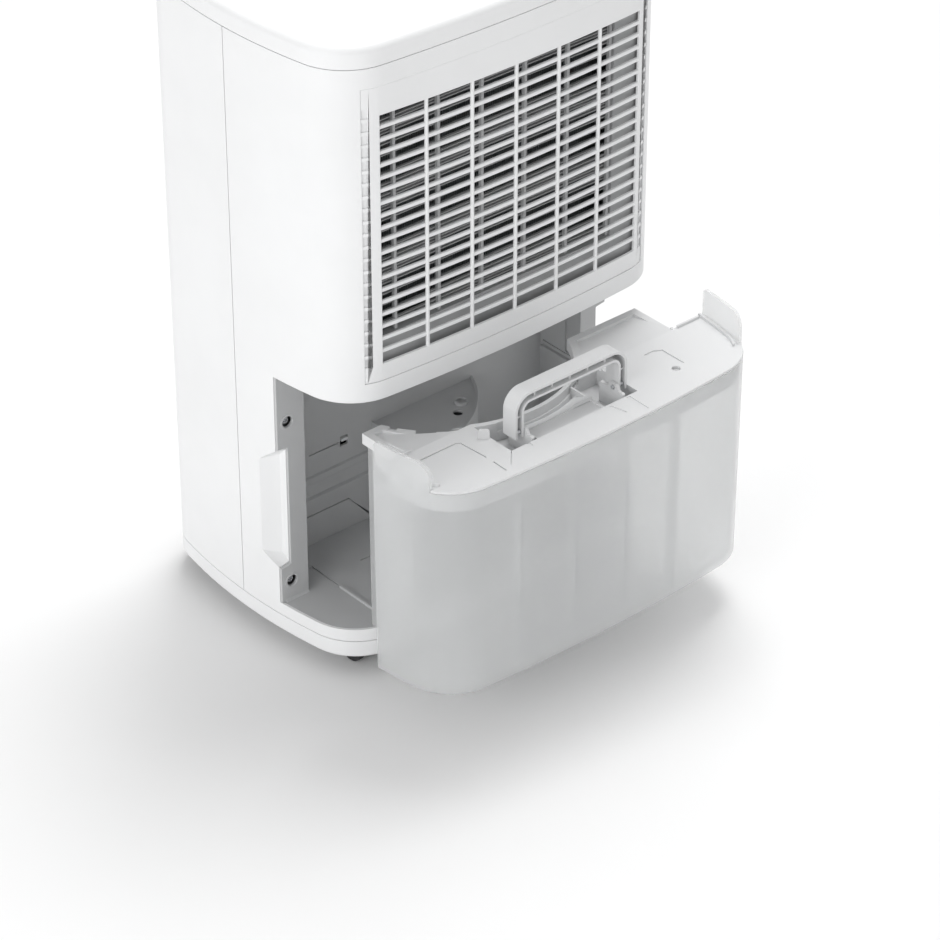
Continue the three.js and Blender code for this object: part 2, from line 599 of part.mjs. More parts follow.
// ---- castors ------------------------------------------------------------------------------------
castorSpots.forEach(([x, y], i) => {
  const trail = 5;
  const hood = cut(
    join(
      rod('z', STEM_R, 24, BASE_TOP + 6, [x, y], 12),
      rod('z', 15, 22, 30.4, [x, y], 16),
      box(x - 2.4, x + 2.4, y - 2, y + trail + 3.6, WHEEL_R - 3.6, 24),
    ),
    rod('x', 2.3, x - 20, x + 20, [y + trail, WHEEL_R], 12),
    rod('x', WHEEL_R + 0.8, x - 14, x - 2.4 - 0.6, [y + trail, WHEEL_R], 20),
    rod('x', WHEEL_R + 0.8, x + 2.4 + 0.6, x + 14, [y + trail, WHEEL_R], 20),
  );
  place(machine, `castor_hood_${i + 1}`, hood, darkPlastic);
  place(machine, `castor_wheels_${i + 1}`, join(
    rod('x', 2.2, x - 4, x + 4, [y + trail, WHEEL_R], 12),
    rod('x', WHEEL_R, x - 11, x - 3.4, [y + trail, WHEEL_R], 20),
    rod('x', WHEEL_R, x + 3.4, x + 11, [y + trail, WHEEL_R], 20),
  ), darkPlastic);
});

// ---- water tank, drawn in its closed place and moved out with its group -------------------------
function tankPlan(inset, z0, z1) {
  const wide = prism(inset + 0.3, z0, z1).intersect(aheadOf(STRIP_Y - 0.5 - inset, 0, HEIGHT));
  const rear = box(-TANK_REAR_HALF + inset, TANK_REAR_HALF - inset, STRIP_Y - 5 - inset,
    TANK_REAR_Y - inset, z0, z1);
  const notch = rod('z', TANK_NOTCH_R + inset, z0 - 1, z1 + 1, [BOSS_X, BOSS_Y], 48);
  return cut(join(wide, rear), notch);
}

const REAR_RIM = 246;
function tankShell() {
  const shell = cut(
    tankPlan(0, TANK_BOTTOM, TANK_RIM),
    tankPlan(TANK_WALL, TANK_BOTTOM + 3, TANK_RIM + 1),
    behind(STRIP_Y - 1, REAR_RIM, HEIGHT),
  );
  const earRound = 14;
  const profile = new THREE.Shape();
  profile.moveTo(EAR_REAR_Y, TANK_RIM - 12);
  profile.lineTo(EAR_REAR_Y, EAR_TOP);
  profile.lineTo(EAR_FRONT_Y + earRound, EAR_TOP);
  profile.absarc(EAR_FRONT_Y + earRound, EAR_TOP - earRound, earRound, Math.PI / 2, Math.PI, false);
  profile.lineTo(EAR_FRONT_Y, TANK_RIM - 12);
  const ears = beam(profile.getPoints(6).reverse(), -FAR, FAR)
    .intersect(cut(prism(0.3, 0, HEIGHT), prism(EAR_THICK, -1, HEIGHT + 1)));
  return join(shell, ears);
}
place(tankGroup, 'tank_shell', tankShell(), frosted);

const POCKETS = [[-88, -57], [20, 56]];
const POCKET_Y = [-106.5, -54.5];
const POCKET_FLOOR = 240;
const VENT_HOLE = { x: 105.8, y: -101.8, r: 4 };
const RIM_FLANGE = 2.2;
const BRACKETS = [-63.9, 39.9];
const BRACKET_THICK = 3;
const BRACKET_Y = [-105.2, -75.5];
const BRACKET_TOP = 260.2;
const FLOAT = { x: 112, y: -35, z: 243, half: 15 };

function tankLid() {
  const thick = 3;
  const profile = [
    [-HALF_D, LID_TOP], [-HALF_D, LID_TOP - thick], [LID_SLOPE_Y, LID_TOP - thick],
    [TANK_REAR_Y, LID_REAR_TOP - thick], [TANK_REAR_Y, LID_REAR_TOP], [LID_SLOPE_Y, LID_TOP],
  ].map(([y, z]) => new THREE.Vector2(y, z));
  const deck = beam(profile, -FAR, FAR).intersect(tankPlan(TANK_WALL + 0.5, 0, HEIGHT));
  const rimPlate = cut(tankPlan(0.6, TANK_RIM + 0.4, LID_TOP), behind(STRIP_Y - 4, 0, HEIGHT));
  const skirt = cut(tankPlan(TANK_WALL + 0.5, LID_TOP - 18, LID_REAR_TOP - 1),
    tankPlan(TANK_WALL + 2.5, 0, HEIGHT));
  const slope = beam([
    [STRIP_Y - 1, REAR_RIM - 6], [TANK_REAR_Y + FAR, REAR_RIM - 6],
    [TANK_REAR_Y, LID_REAR_TOP], [LID_SLOPE_Y, LID_TOP],
  ].map(([y, z]) => new THREE.Vector2(y, z)), -FAR, FAR);
  const rimHalf = TANK_REAR_HALF + RIM_FLANGE;
  const rearRim = cut(
    tankPlan(-RIM_FLANGE, REAR_RIM - 6, LID_TOP).intersect(slope)
      .intersect(box(-rimHalf, rimHalf, STRIP_Y + 0.5, FAR, 0, HEIGHT)),
    tankPlan(-GAP, 0, REAR_RIM + GAP),
    tankPlan(TANK_WALL + 2.5, 0, LID_REAR_TOP - thick),
  );
  let lid = join(deck, rimPlate, skirt, rearRim);
  const earBand = cut(prism(-2, 0, HEIGHT), prism(EAR_THICK + 0.5, -1, HEIGHT + 1))
    .intersect(box(-FAR, FAR, EAR_FRONT_Y - 0.5, EAR_REAR_Y + 8, 0, HEIGHT));
  lid = cut(lid, earBand);
  const inner = tankPlan(TANK_WALL + 3, 0, HEIGHT);
  for (const [x0, x1] of POCKETS) {
    const well = box(x0 - 2, x1 + 2, POCKET_Y[0] - 2, POCKET_Y[1] + 2, POCKET_FLOOR - 2, LID_TOP - 1);
    lid = cut(join(lid, well.intersect(inner)), box(x0, x1, ...POCKET_Y, POCKET_FLOOR, HEIGHT).intersect(inner));
  }
  const gusset = [
    [BRACKET_Y[0], POCKET_FLOOR - 1], [BRACKET_Y[0], BRACKET_TOP], [PIVOT_Y - 5, PIVOT_Z + 4],
    [PIVOT_Y + 5, PIVOT_Z + 4], [BRACKET_Y[1], BRACKET_TOP], [BRACKET_Y[1], POCKET_FLOOR - 1],
  ].map(([y, z]) => new THREE.Vector2(y, z));
  for (const x of BRACKETS) {
    lid = join(lid, beam(gusset.slice().reverse(), x, x + BRACKET_THICK).intersect(inner));
  }
  for (const side of [-1, 1]) {
    const x = FLOAT.x + side * 7;
    lid = join(lid, box(x - 1, x + 1, FLOAT.y - 4, FLOAT.y + 4, FLOAT.z - 4, FLOAT.z + 10));
  }
  return cut(
    lid,
    rod('x', PIN_R + 0.3, -FAR, FAR, [PIVOT_Y, PIVOT_Z], 16),
    rod('x', 1.8, FLOAT.x - 20, FLOAT.x + 20, [FLOAT.y, FLOAT.z], 12),
    rod('z', VENT_HOLE.r, 230, 270, [VENT_HOLE.x, VENT_HOLE.y], 16),
  );
}
place(tankGroup, 'tank_lid', tankLid(), lidGrey);

// ---- carrying handle: a channel open towards the front, hinged to the lid's two brackets ---------
const HANDLE_WALL = 2.2;
function hoop(inset, low) {
  const x0 = HANDLE_X - HANDLE_HALF + inset;
  const x1 = HANDLE_X + HANDLE_HALF - inset;
  const top = HANDLE_TOP - inset;
  const round = 17 - inset;
  const shape = new THREE.Shape();
  shape.moveTo(x0, low);
  shape.lineTo(x1, low);
  shape.lineTo(x1, top - round);
  shape.absarc(x1 - round, top - round, round, 0, Math.PI / 2, false);
  shape.lineTo(x0 + round, top);
  shape.absarc(x0 + round, top - round, round, Math.PI / 2, Math.PI, false);
  return shape;
}

function tankHandle() {
  const front = PIVOT_Y - PIVOT_FRONT;
  const back = front + HANDLE_DEEP;
  const low = PIVOT_Z - 4.6;
  const outer = cut(plate(hoop(0, low), front, back), plate(hoop(HANDLE_BAR, low - 1), front - 1, back + 1));
  const channel = cut(
    plate(hoop(HANDLE_WALL, low - 1), front - 1, back - HANDLE_WALL),
    plate(hoop(HANDLE_BAR - HANDLE_WALL, low - 2), front - 2, back + 1),
  );
  let handle = cut(outer, channel);
  const top = HANDLE_TOP;
  for (let rib = -2; rib <= 2; rib += 1) {
    const x = HANDLE_X + rib * 20;
    handle = join(handle, box(x - 0.8, x + 0.8, front + 3, back - 1, top - HANDLE_BAR + 1, top - 1));
  }
  for (const x of [HANDLE_X - HANDLE_HALF, HANDLE_X + HANDLE_HALF - HANDLE_BAR]) {
    handle = join(handle, box(x + 1, x + HANDLE_BAR - 1, front + 3, back - 1, PIVOT_Z + 14, PIVOT_Z + 15.6));
  }
  return cut(handle, rod('x', PIN_R + 0.3, -FAR, FAR, [PIVOT_Y, PIVOT_Z], 16));
}
place(tankGroup, 'tank_handle', tankHandle(), lidGrey);

place(tankGroup, 'handle_pin_left',
  rod('x', PIN_R, HANDLE_X - HANDLE_HALF + 0.2, BRACKETS[0] + BRACKET_THICK + 1.2, [PIVOT_Y, PIVOT_Z], 16), steel);
place(tankGroup, 'handle_pin_right',
  rod('x', PIN_R, BRACKETS[1] - 1.2, HANDLE_X + HANDLE_HALF - 0.2, [PIVOT_Y, PIVOT_Z], 16), steel);

// ---- float that tells the machine when the tank is full ------------------------------------------
const armProfile = [
  [FLOAT.y + 1, FLOAT.z - 1.4], [FLOAT.y + 1, FLOAT.z + 1.4], [FLOAT.y - 35, FLOAT.z - 13],
  [FLOAT.y - 61, FLOAT.z - 13], [FLOAT.y - 61, FLOAT.z - 15.4], [FLOAT.y - 35, FLOAT.z - 15.4],
].map(([y, z]) => new THREE.Vector2(y, z));
place(tankGroup, 'float_arm', join(
  beam(armProfile.reverse(), FLOAT.x - 4, FLOAT.x + 4),
  rod('x', 1.4, FLOAT.x - 9, FLOAT.x + 9, [FLOAT.y, FLOAT.z], 12),
), lidGrey);
place(tankGroup, 'float_block', box(
  FLOAT.x - FLOAT.half, FLOAT.x + FLOAT.half, FLOAT.y - 61, FLOAT.y - 31, FLOAT.z - 34, FLOAT.z - 15.8,
), whiteShell);

export default machine;
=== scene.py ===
"""A compressor dehumidifier on castors, its water tank drawn out under the intake grille.

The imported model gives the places. Shapes are drawn here in millimetres from the middle of the housing's
foot, with the tank in its closed place, and every finished piece is moved into the frame in metres.
"""
import json
import logging
import math
from dataclasses import dataclass
from enum import Enum

import bmesh
import bpy
from mathutils import Matrix, Vector


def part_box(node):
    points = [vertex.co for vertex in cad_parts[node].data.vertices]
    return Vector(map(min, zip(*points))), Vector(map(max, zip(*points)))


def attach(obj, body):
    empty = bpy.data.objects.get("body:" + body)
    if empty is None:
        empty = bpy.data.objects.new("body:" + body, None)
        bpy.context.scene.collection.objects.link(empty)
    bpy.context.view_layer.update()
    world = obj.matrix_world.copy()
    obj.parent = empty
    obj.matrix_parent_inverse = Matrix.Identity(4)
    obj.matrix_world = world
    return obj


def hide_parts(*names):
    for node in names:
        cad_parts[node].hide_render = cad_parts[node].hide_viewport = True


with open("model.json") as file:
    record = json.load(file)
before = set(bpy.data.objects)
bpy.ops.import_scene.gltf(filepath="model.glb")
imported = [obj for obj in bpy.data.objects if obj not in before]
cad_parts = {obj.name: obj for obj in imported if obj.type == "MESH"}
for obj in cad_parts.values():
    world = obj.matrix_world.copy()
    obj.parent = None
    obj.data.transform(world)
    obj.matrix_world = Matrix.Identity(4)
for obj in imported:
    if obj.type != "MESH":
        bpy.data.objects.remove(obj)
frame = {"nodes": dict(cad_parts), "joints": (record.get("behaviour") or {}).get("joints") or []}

LOG = logging.getLogger("dehumidifier")
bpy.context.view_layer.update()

Point2 = tuple[float, float]
Point3 = tuple[float, float, float]
Span = tuple[float, float]

MM = 0.001
FAR = 400.0
CRISP_ANGLE = math.radians(34)
PIN_R = 2.0
PIN_PLAY = 0.3


# ---- where things sit ---------------------------------------------------------------------------
def body_shift() -> float:
    """Return the housing's place along Y in the frame, in millimetres, from its base pan."""
    low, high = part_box("base_pan")
    return (low.y + high.y) / 2 / MM


def tank_pull() -> float:
    """Return how far the tank is drawn out at rest, in millimetres, from its joint."""
    slide = next(joint for joint in frame["joints"] if joint["name"] == "tank_slide")
    return abs(slide["range_m"][0]) / MM


BODY_SHIFT = body_shift()
TANK_SHIFT = BODY_SHIFT - tank_pull()


# ---- raw solids ---------------------------------------------------------------------------------
class Stock:
    """Raw closed solids in millimetres, which are then joined and cut."""

    @staticmethod
    def mesh(verts: list[Point3], faces: list[list[int]]) -> bpy.types.Object:
        """Make a loose object from points and faces.

        Args:
            verts: The corner points.
            faces: The corners of each face.

        Returns:
            The new object.
        """
        mesh = bpy.data.meshes.new("stock")
        mesh.from_pydata(verts, [], faces)
        work = bmesh.new()
        work.from_mesh(mesh)
        bmesh.ops.recalc_face_normals(work, faces=work.faces)
        work.to_mesh(mesh)
        work.free()
        obj = bpy.data.objects.new("stock", mesh)
        bpy.context.scene.collection.objects.link(obj)
        return obj

    @classmethod
    def loft(cls, rings: list[list[Point3]]) -> bpy.types.Object:
        """Skin a row of rings with the same number of points, and cap both ends."""
        count = len(rings[0])
        faces = [list(range(count))[::-1]]
        for level in range(len(rings) - 1):
            low, high = level * count, (level + 1) * count
            for i in range(count):
                j = (i + 1) % count
                faces.append([low + i, low + j, high + j, high + i])
        last = (len(rings) - 1) * count
        faces.append([last + i for i in range(count)])
        return cls.mesh([point for ring in rings for point in ring], faces)

    @classmethod
    def prism(cls, outline: list[Point2], low: float, high: float) -> bpy.types.Object:
        """Raise a plan outline between two heights."""
        return cls.loft([[(x, y, z) for x, y in outline] for z in (low, high)])

    @classmethod
    def beam(cls, outline: list[Point2], low: float, high: float) -> bpy.types.Object:
        """Run a profile of (y, z) points along X."""
        return cls.loft([[(x, y, z) for y, z in outline] for x in (low, high)])

    @classmethod
    def plate(cls, outline: list[Point2], low: float, high: float) -> bpy.types.Object:
        """Run a profile of (x, z) points along Y."""
        return cls.loft([[(x, y, z) for x, z in outline] for y in (low, high)])

    @classmethod
    def box(cls, x: Span, y: Span, z: Span) -> bpy.types.Object:
        """Make a block between the spans of its three axes."""
        return cls.prism([(x[0], y[0]), (x[1], y[0]), (x[1], y[1]), (x[0], y[1])], *z)

    @classmethod
    def lathe(cls, axis: str, centre: Point2, profile: list[Point2], sides: int = 64) -> bpy.types.Object:
        """Turn a profile about an axis.

        Args:
            axis: The axis it turns about, x, y or z.
            centre: Where the axis stands in the other two directions, in order.
            profile: Pairs of radius and place along the axis, from one end to the other.
            sides: How many flats go round.

        Returns:
            The new object.
        """
        rings = []
        for radius, along in profile:
            ring = []
            for i in range(sides):
                angle = math.tau * i / sides
                a, b = centre[0] + radius * math.cos(angle), centre[1] + radius * math.sin(angle)
                ring.append({"x": (along, a, b), "y": (a, along, b), "z": (a, b, along)}[axis])
            rings.append(ring)
        return cls.loft(rings)

    @classmethod
    def rod(cls, axis: str, radius: float, span: Span, centre: Point2, sides: int = 48) -> bpy.types.Object:
        """Make a round bar along an axis."""
        return cls.lathe(axis, centre, [(radius, span[0]), (radius, span[1])], sides)

    @classmethod
    def pebble(cls, axis: str, radius: float, span: Span, centre: Point2, edge: float) -> bpy.types.Object:
        """Make a round bar whose rims are rounded over by an edge radius."""
        steps = 5
        low = [(radius - edge * (1 - math.sin(a)), span[0] + edge * (1 - math.cos(a)))
               for a in (math.pi / 2 * i / steps for i in range(steps + 1))]
        high = [(r, span[0] + span[1] - along) for r, along in reversed(low)]
        return cls.lathe(axis, centre, low + high)

    @staticmethod
    def hull(points: list[Point3]) -> bpy.types.Object:
        """Wrap a few points in their convex hull."""
        work = bmesh.new()
        for point in points:
            work.verts.new(point)
        made = bmesh.ops.convex_hull(work, input=work.verts)
        loose = [item for item in made["geom_interior"] if isinstance(item, bmesh.types.BMVert)]
        bmesh.ops.delete(work, geom=loose, context="VERTS")
        bmesh.ops.dissolve_limit(work, angle_limit=0.01, verts=work.verts, edges=work.edges)
        mesh = bpy.data.meshes.new("hull")
        work.to_mesh(mesh)
        work.free()
        obj = bpy.data.objects.new("hull", mesh)
        bpy.context.scene.collection.objects.link(obj)
        return obj


def discard(obj: bpy.types.Object) -> None:
    """Remove a working object and its mesh."""
    mesh = obj.data
    bpy.data.objects.remove(obj)
    if mesh.users == 0:
        bpy.data.meshes.remove(mesh)


def bake(obj: bpy.types.Object) -> bpy.types.Object:
    """Turn an object's modifiers into plain mesh.

    Args:
        obj: The object, which keeps its name and place.

    Returns:
        The same object, without modifiers.
    """
    bpy.context.view_layer.update()
    graph = bpy.context.evaluated_depsgraph_get()
    mesh = bpy.data.meshes.new_from_object(obj.evaluated_get(graph), depsgraph=graph)
    old = obj.data
    obj.modifiers.clear()
    obj.data = mesh
    if old.users == 0:
        bpy.data.meshes.remove(old)
    return obj


def fitted(base: bpy.types.Object, *, add: list[bpy.types.Object] = (), cut: list[bpy.types.Object] = (),
           keep: list[bpy.types.Object] = ()) -> bpy.types.Object:
    """Join, cut and trim a solid, in that order.

    Args:
        base: The solid that is worked on.
        add: Solids joined to it.
        cut: Solids taken out of it.
        keep: Solids it is trimmed to.

    Returns:
        The base with its new mesh. The other solids are used up.
    """
    used = []
    for tools, operation in ((add, "UNION"), (cut, "DIFFERENCE"), (keep, "INTERSECT")):
        for tool in tools:
            modifier = base.modifiers.new(operation.title(), "BOOLEAN")
            modifier.operation = operation
            modifier.solver = "MANIFOLD"
            modifier.object = tool
            used.append(tool)
    bake(base)
    for tool in used:
        discard(tool)
    if not base.data.polygons:
        raise RuntimeError("a join or cut left nothing behind")
    return base


def rounded(points: list[Point2], radii: list[float], steps: int = 6) -> list[Point2]:
    """Round the corners of a polygon.

    Args:
        points: The sharp corners, in order.
        radii: A radius for each corner, nought where it stays sharp.
        steps: How many flats each round has.

    Returns:
        The corners with their rounds.
    """
    out = []
    for i, (point, radius) in enumerate(zip(points, radii)):
        if radius <= 0:
            out.append(point)
            continue
        here = Vector(point)
        to_last = (Vector(points[i - 1]) - here).normalized()
        to_next = (Vector(points[(i + 1) % len(points)]) - here).normalized()
        half = to_last.angle(to_next) / 2
        reach = radius / math.tan(half)
        start, end = here + to_last * reach, here + to_next * reach
        centre = here + (to_last + to_next).normalized() * (radius / math.sin(half))
        a, b = start - centre, end - centre
        turn = math.atan2(a.x * b.y - a.y * b.x, a.dot(b))
        for step in range(steps + 1):
            angle = turn * step / steps
            out.append((centre.x + a.x * math.cos(angle) - a.y * math.sin(angle),
                        centre.y + a.x * math.sin(angle) + a.y * math.cos(angle)))
    return out


# ---- finishes -----------------------------------------------------------------------------------
class Tree:
    """A shader tree under construction."""

    def __init__(self, name: str) -> None:
        """Start a material with one Principled shader."""
        self.material = bpy.data.materials.new(name)
        self.material.use_nodes = True
        self.nodes = self.material.node_tree.nodes
        self.links = self.material.node_tree.links
        self.nodes.clear()
        self.output = self.nodes.new("ShaderNodeOutputMaterial")
        self.shader = self.nodes.new("ShaderNodeBsdfPrincipled")
        self.links.new(self.shader.outputs["BSDF"], self.output.inputs["Surface"])
        self.place = self.nodes.new("ShaderNodeTexCoord").outputs["Object"]

    def noise(self, scale: float, detail: float = 3.0, rough: float = 0.55,
              stretch: Point3 = (1.0, 1.0, 1.0)) -> bpy.types.NodeSocket:
        """Return a noise pattern in object coordinates, which are metres."""
        mapping = self.nodes.new("ShaderNodeMapping")
        mapping.inputs["Scale"].default_value = stretch
        self.links.new(self.place, mapping.inputs["Vector"])
        noise = self.nodes.new("ShaderNodeTexNoise")
        noise.inputs["Scale"].default_value = scale
        noise.inputs["Detail"].default_value = detail
        noise.inputs["Roughness"].default_value = rough
        self.links.new(mapping.outputs["Vector"], noise.inputs["Vector"])
        return noise.outputs["Fac"]

    def spread(self, value: bpy.types.NodeSocket, low: float, high: float) -> bpy.types.NodeSocket:
        """Return a pattern's middle range mapped to new limits."""
        ranges = self.nodes.new("ShaderNodeMapRange")
        ranges.inputs["From Min"].default_value = 0.3
        ranges.inputs["From Max"].default_value = 0.7
        ranges.inputs["To Min"].default_value = low
        ranges.inputs["To Max"].default_value = high
        self.links.new(value, ranges.inputs["Value"])
        return ranges.outputs["Result"]

    def tint(self, value: bpy.types.NodeSocket, dark: Point3, light: Point3) -> None:
        """Colour the shader between two shades by a pattern."""
        ramp = self.nodes.new("ShaderNodeValToRGB")
        ramp.color_ramp.elements[0].position = 0.3
        ramp.color_ramp.elements[1].position = 0.7
        ramp.color_ramp.elements[0].color = (*dark, 1.0)
        ramp.color_ramp.elements[1].color = (*light, 1.0)
        self.links.new(value, ramp.inputs["Fac"])
        self.links.new(ramp.outputs["Color"], self.shader.inputs["Base Color"])

    def relief(self, value: bpy.types.NodeSocket, strength: float, depth: float) -> None:
        """Raise the surface by a pattern, by a depth in metres."""
        bump = self.nodes.new("ShaderNodeBump")
        bump.inputs["Strength"].default_value = strength
        bump.inputs["Distance"].default_value = depth
        self.links.new(value, bump.inputs["Height"])
        self.links.new(bump.outputs["Normal"], self.shader.inputs["Normal"])

    def roughness(self, value: bpy.types.NodeSocket, low: float, high: float) -> None:
        """Vary the roughness by a pattern."""
        self.links.new(self.spread(value, low, high), self.shader.inputs["Roughness"])


def shade(colour: Point3, factor: float) -> Point3:
    """Return a colour made lighter or darker by a factor."""
    return tuple(min(1.0, channel * factor) for channel in colour)


@dataclass(frozen=True)
class Plastic:
    """A moulded plastic with a fine spark-eroded grain and faint flow marks."""

    name: str
    colour: Point3
    mottle: float = 0.02
    rough: Span = (0.38, 0.5)
    grain: float = 1400.0
    grain_depth: float = 0.00004
    specular: float = 0.5

    def material(self) -> bpy.types.Material:
        """Return the material."""
        tree = Tree(self.name)
        tree.tint(tree.noise(9.0, 4.0), shade(self.colour, 1 - self.mottle),
                  shade(self.colour, 1 + self.mottle))
        tree.roughness(tree.noise(60.0, 4.0), *self.rough)
        tree.relief(tree.noise(self.grain, 2.0, 0.7), 0.35, self.grain_depth)
        tree.shader.inputs["Specular IOR Level"].default_value = self.specular
        return tree.material


@dataclass(frozen=True)
class Metal:
    """A drawn or pressed metal with a brushed direction."""

    name: str
    colour: Point3
    rough: Span = (0.28, 0.42)
    stretch: Point3 = (1.0, 1.0, 30.0)

    def material(self) -> bpy.types.Material:
        """Return the material."""
        tree = Tree(self.name)
        tree.tint(tree.noise(14.0, 5.0), shade(self.colour, 0.93), shade(self.colour, 1.04))
        tree.roughness(tree.noise(90.0, 4.0, stretch=self.stretch), *self.rough)
        tree.relief(tree.noise(420.0, 3.0, stretch=self.stretch), 0.25, 0.00003)
        tree.shader.inputs["Metallic"].default_value = 1.0
        return tree.material


@dataclass(frozen=True)
class Frosted:
    """A milky moulded polypropylene that lets soft shapes through."""

    name: str
    colour: Point3
    rough: Span = (0.3, 0.42)
    clearness: float = 0.4
    alpha: float = 0.44

    def material(self) -> bpy.types.Material:
        """Return the material."""
        tree = Tree(self.name)
        tree.tint(tree.noise(11.0, 4.0), shade(self.colour, 0.975), shade(self.colour, 1.02))
        tree.roughness(tree.noise(45.0, 4.0), *self.rough)
        tree.relief(tree.noise(900.0, 2.0), 0.2, 0.00003)
        tree.shader.inputs["Transmission Weight"].default_value = self.clearness
        tree.shader.inputs["Alpha"].default_value = self.alpha
        tree.shader.inputs["IOR"].default_value = 1.3
        return tree.material


@dataclass(frozen=True)
class Board:
    """A printed circuit board with its tracks as a fine pattern under the lacquer."""

    name: str
    colour: Point3

    def material(self) -> bpy.types.Material:
        """Return the material."""
        tree = Tree(self.name)
        tree.tint(tree.noise(240.0, 1.0, stretch=(1.0, 6.0, 1.0)), shade(self.colour, 0.8),
                  shade(self.colour, 1.35))
        tree.roughness(tree.noise(120.0), 0.3, 0.5)
        tree.relief(tree.noise(240.0, 1.0, stretch=(1.0, 6.0, 1.0)), 0.3, 0.00005)
        return tree.material


class Finish(Enum):
    """The finishes, each under the record's material slot it stands for."""

    WHITE = ("white_shell", Plastic("white_shell", (0.86, 0.865, 0.87)))
    LINER = ("grey_liner", Plastic("grey_liner", (0.53, 0.535, 0.54), 0.03, (0.42, 0.55)))
    LID = ("lid_grey", Plastic("lid_grey", (0.72, 0.725, 0.73), 0.02, (0.34, 0.46)))
    FILTER = ("dark_plastic", Plastic("filter_frame", (0.42, 0.425, 0.43), 0.03, (0.45, 0.6)))
    FROSTED = ("frosted_tank", Frosted("frosted_tank", (0.84, 0.85, 0.855)))
    DARK = ("dark_plastic", Plastic("dark_plastic", (0.02, 0.021, 0.023), 0.1, (0.4, 0.55)))
    TREAD = ("dark_plastic", Plastic("wheel_tread", (0.032, 0.032, 0.034), 0.15, (0.55, 0.7)))
    STEEL = ("steel", Metal("steel", (0.62, 0.63, 0.65)))
    # The fin metal is partly real aluminium and partly painted shade: a dark grey well below bare aluminium,
    # standing in for the dim inside of the housing seen through the grille.
    FINS = ("aluminium_fins", Metal("aluminium_fins", (0.42, 0.44, 0.46), (0.35, 0.5)))
    COPPER = ("copper_pipe", Metal("copper_pipe", (0.72, 0.36, 0.2), (0.25, 0.4)))
    PAINT = ("black_paint", Plastic("black_paint", (0.012, 0.012, 0.013), 0.1, (0.3, 0.4)))
    BOARD = ("board_green", Board("board_green", (0.03, 0.16, 0.07)))
    WINDOW = ("smoked_window", Plastic("smoked_window", (0.015, 0.017, 0.02), 0.05, (0.06, 0.12), 300.0,
                                       0.00001))


class Finishes:
    """The materials, each made once."""

    def __init__(self) -> None:
        """Start with none made."""
        self.made: dict[Finish, bpy.types.Material] = {}

    def of(self, finish: Finish) -> bpy.types.Material:
        """Return a finish's material."""
        if finish not in self.made:
            self.made[finish] = finish.value[1].material()
        return self.made[finish]


FINISHES = Finishes()


def settle(obj: bpy.types.Object, name: str, shift: float, finish: Finish, body: str,
           nodes: tuple[str, ...] = (), edge: float = 0.5, segments: int = 2) -> bpy.types.Object:
    """Round a solid's edges, move it into the frame and put it on its body.

    Args:
        obj: The solid, in millimetres.
        name: The piece's name.
        shift: Its place along Y in the frame, in millimetres.
        finish: Its finish.
        body: The body it moves with.
        nodes: The nodes it stands for.
        edge: The radius of its rounded edges, nought for none.
        segments: How many flats each rounded edge has.

    Returns:
        The finished piece.
    """
    work = bmesh.new()
    work.from_mesh(obj.data)
    bmesh.ops.remove_doubles(work, verts=work.verts, dist=0.004)
    bmesh.ops.dissolve_degenerate(work, edges=work.edges, dist=0.004)
    bmesh.ops.dissolve_limit(work, angle_limit=math.radians(0.03), verts=work.verts, edges=work.edges)
    work.to_mesh(obj.data)
    work.free()
    if edge > 0:
        bevel = obj.modifiers.new("Edges", "BEVEL")
        bevel.width = edge
        bevel.segments = segments
        bevel.limit_method = "ANGLE"
        bevel.angle_limit = CRISP_ANGLE
        bevel.use_clamp_overlap = True
        bevel.harden_normals = False
        bake(obj)
    obj.data.transform(Matrix.Translation((0, shift * MM, 0)) @ Matrix.Scale(MM, 4))
    obj.data.shade_smooth()
    obj.data.set_sharp_from_angle(angle=CRISP_ANGLE)
    weighted = obj.modifiers.new("Normals", "WEIGHTED_NORMAL")
    weighted.keep_sharp = True
    bake(obj)
    obj.data.materials.clear()
    obj.data.materials.append(FINISHES.of(finish))
    return enrol(obj, name, body, nodes)


def enrol(obj: bpy.types.Object, name: str, body: str,
          nodes: tuple[str, ...]) -> bpy.types.Object:
    """Name a finished piece, put it on its body and hide the nodes it stands for."""
    obj.name = name
    obj.data.name = name
    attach(obj, body)
    if nodes:
        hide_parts(*nodes)
    LOG.info("%s: %d faces on %s", name, len(obj.data.polygons), body)
    return obj


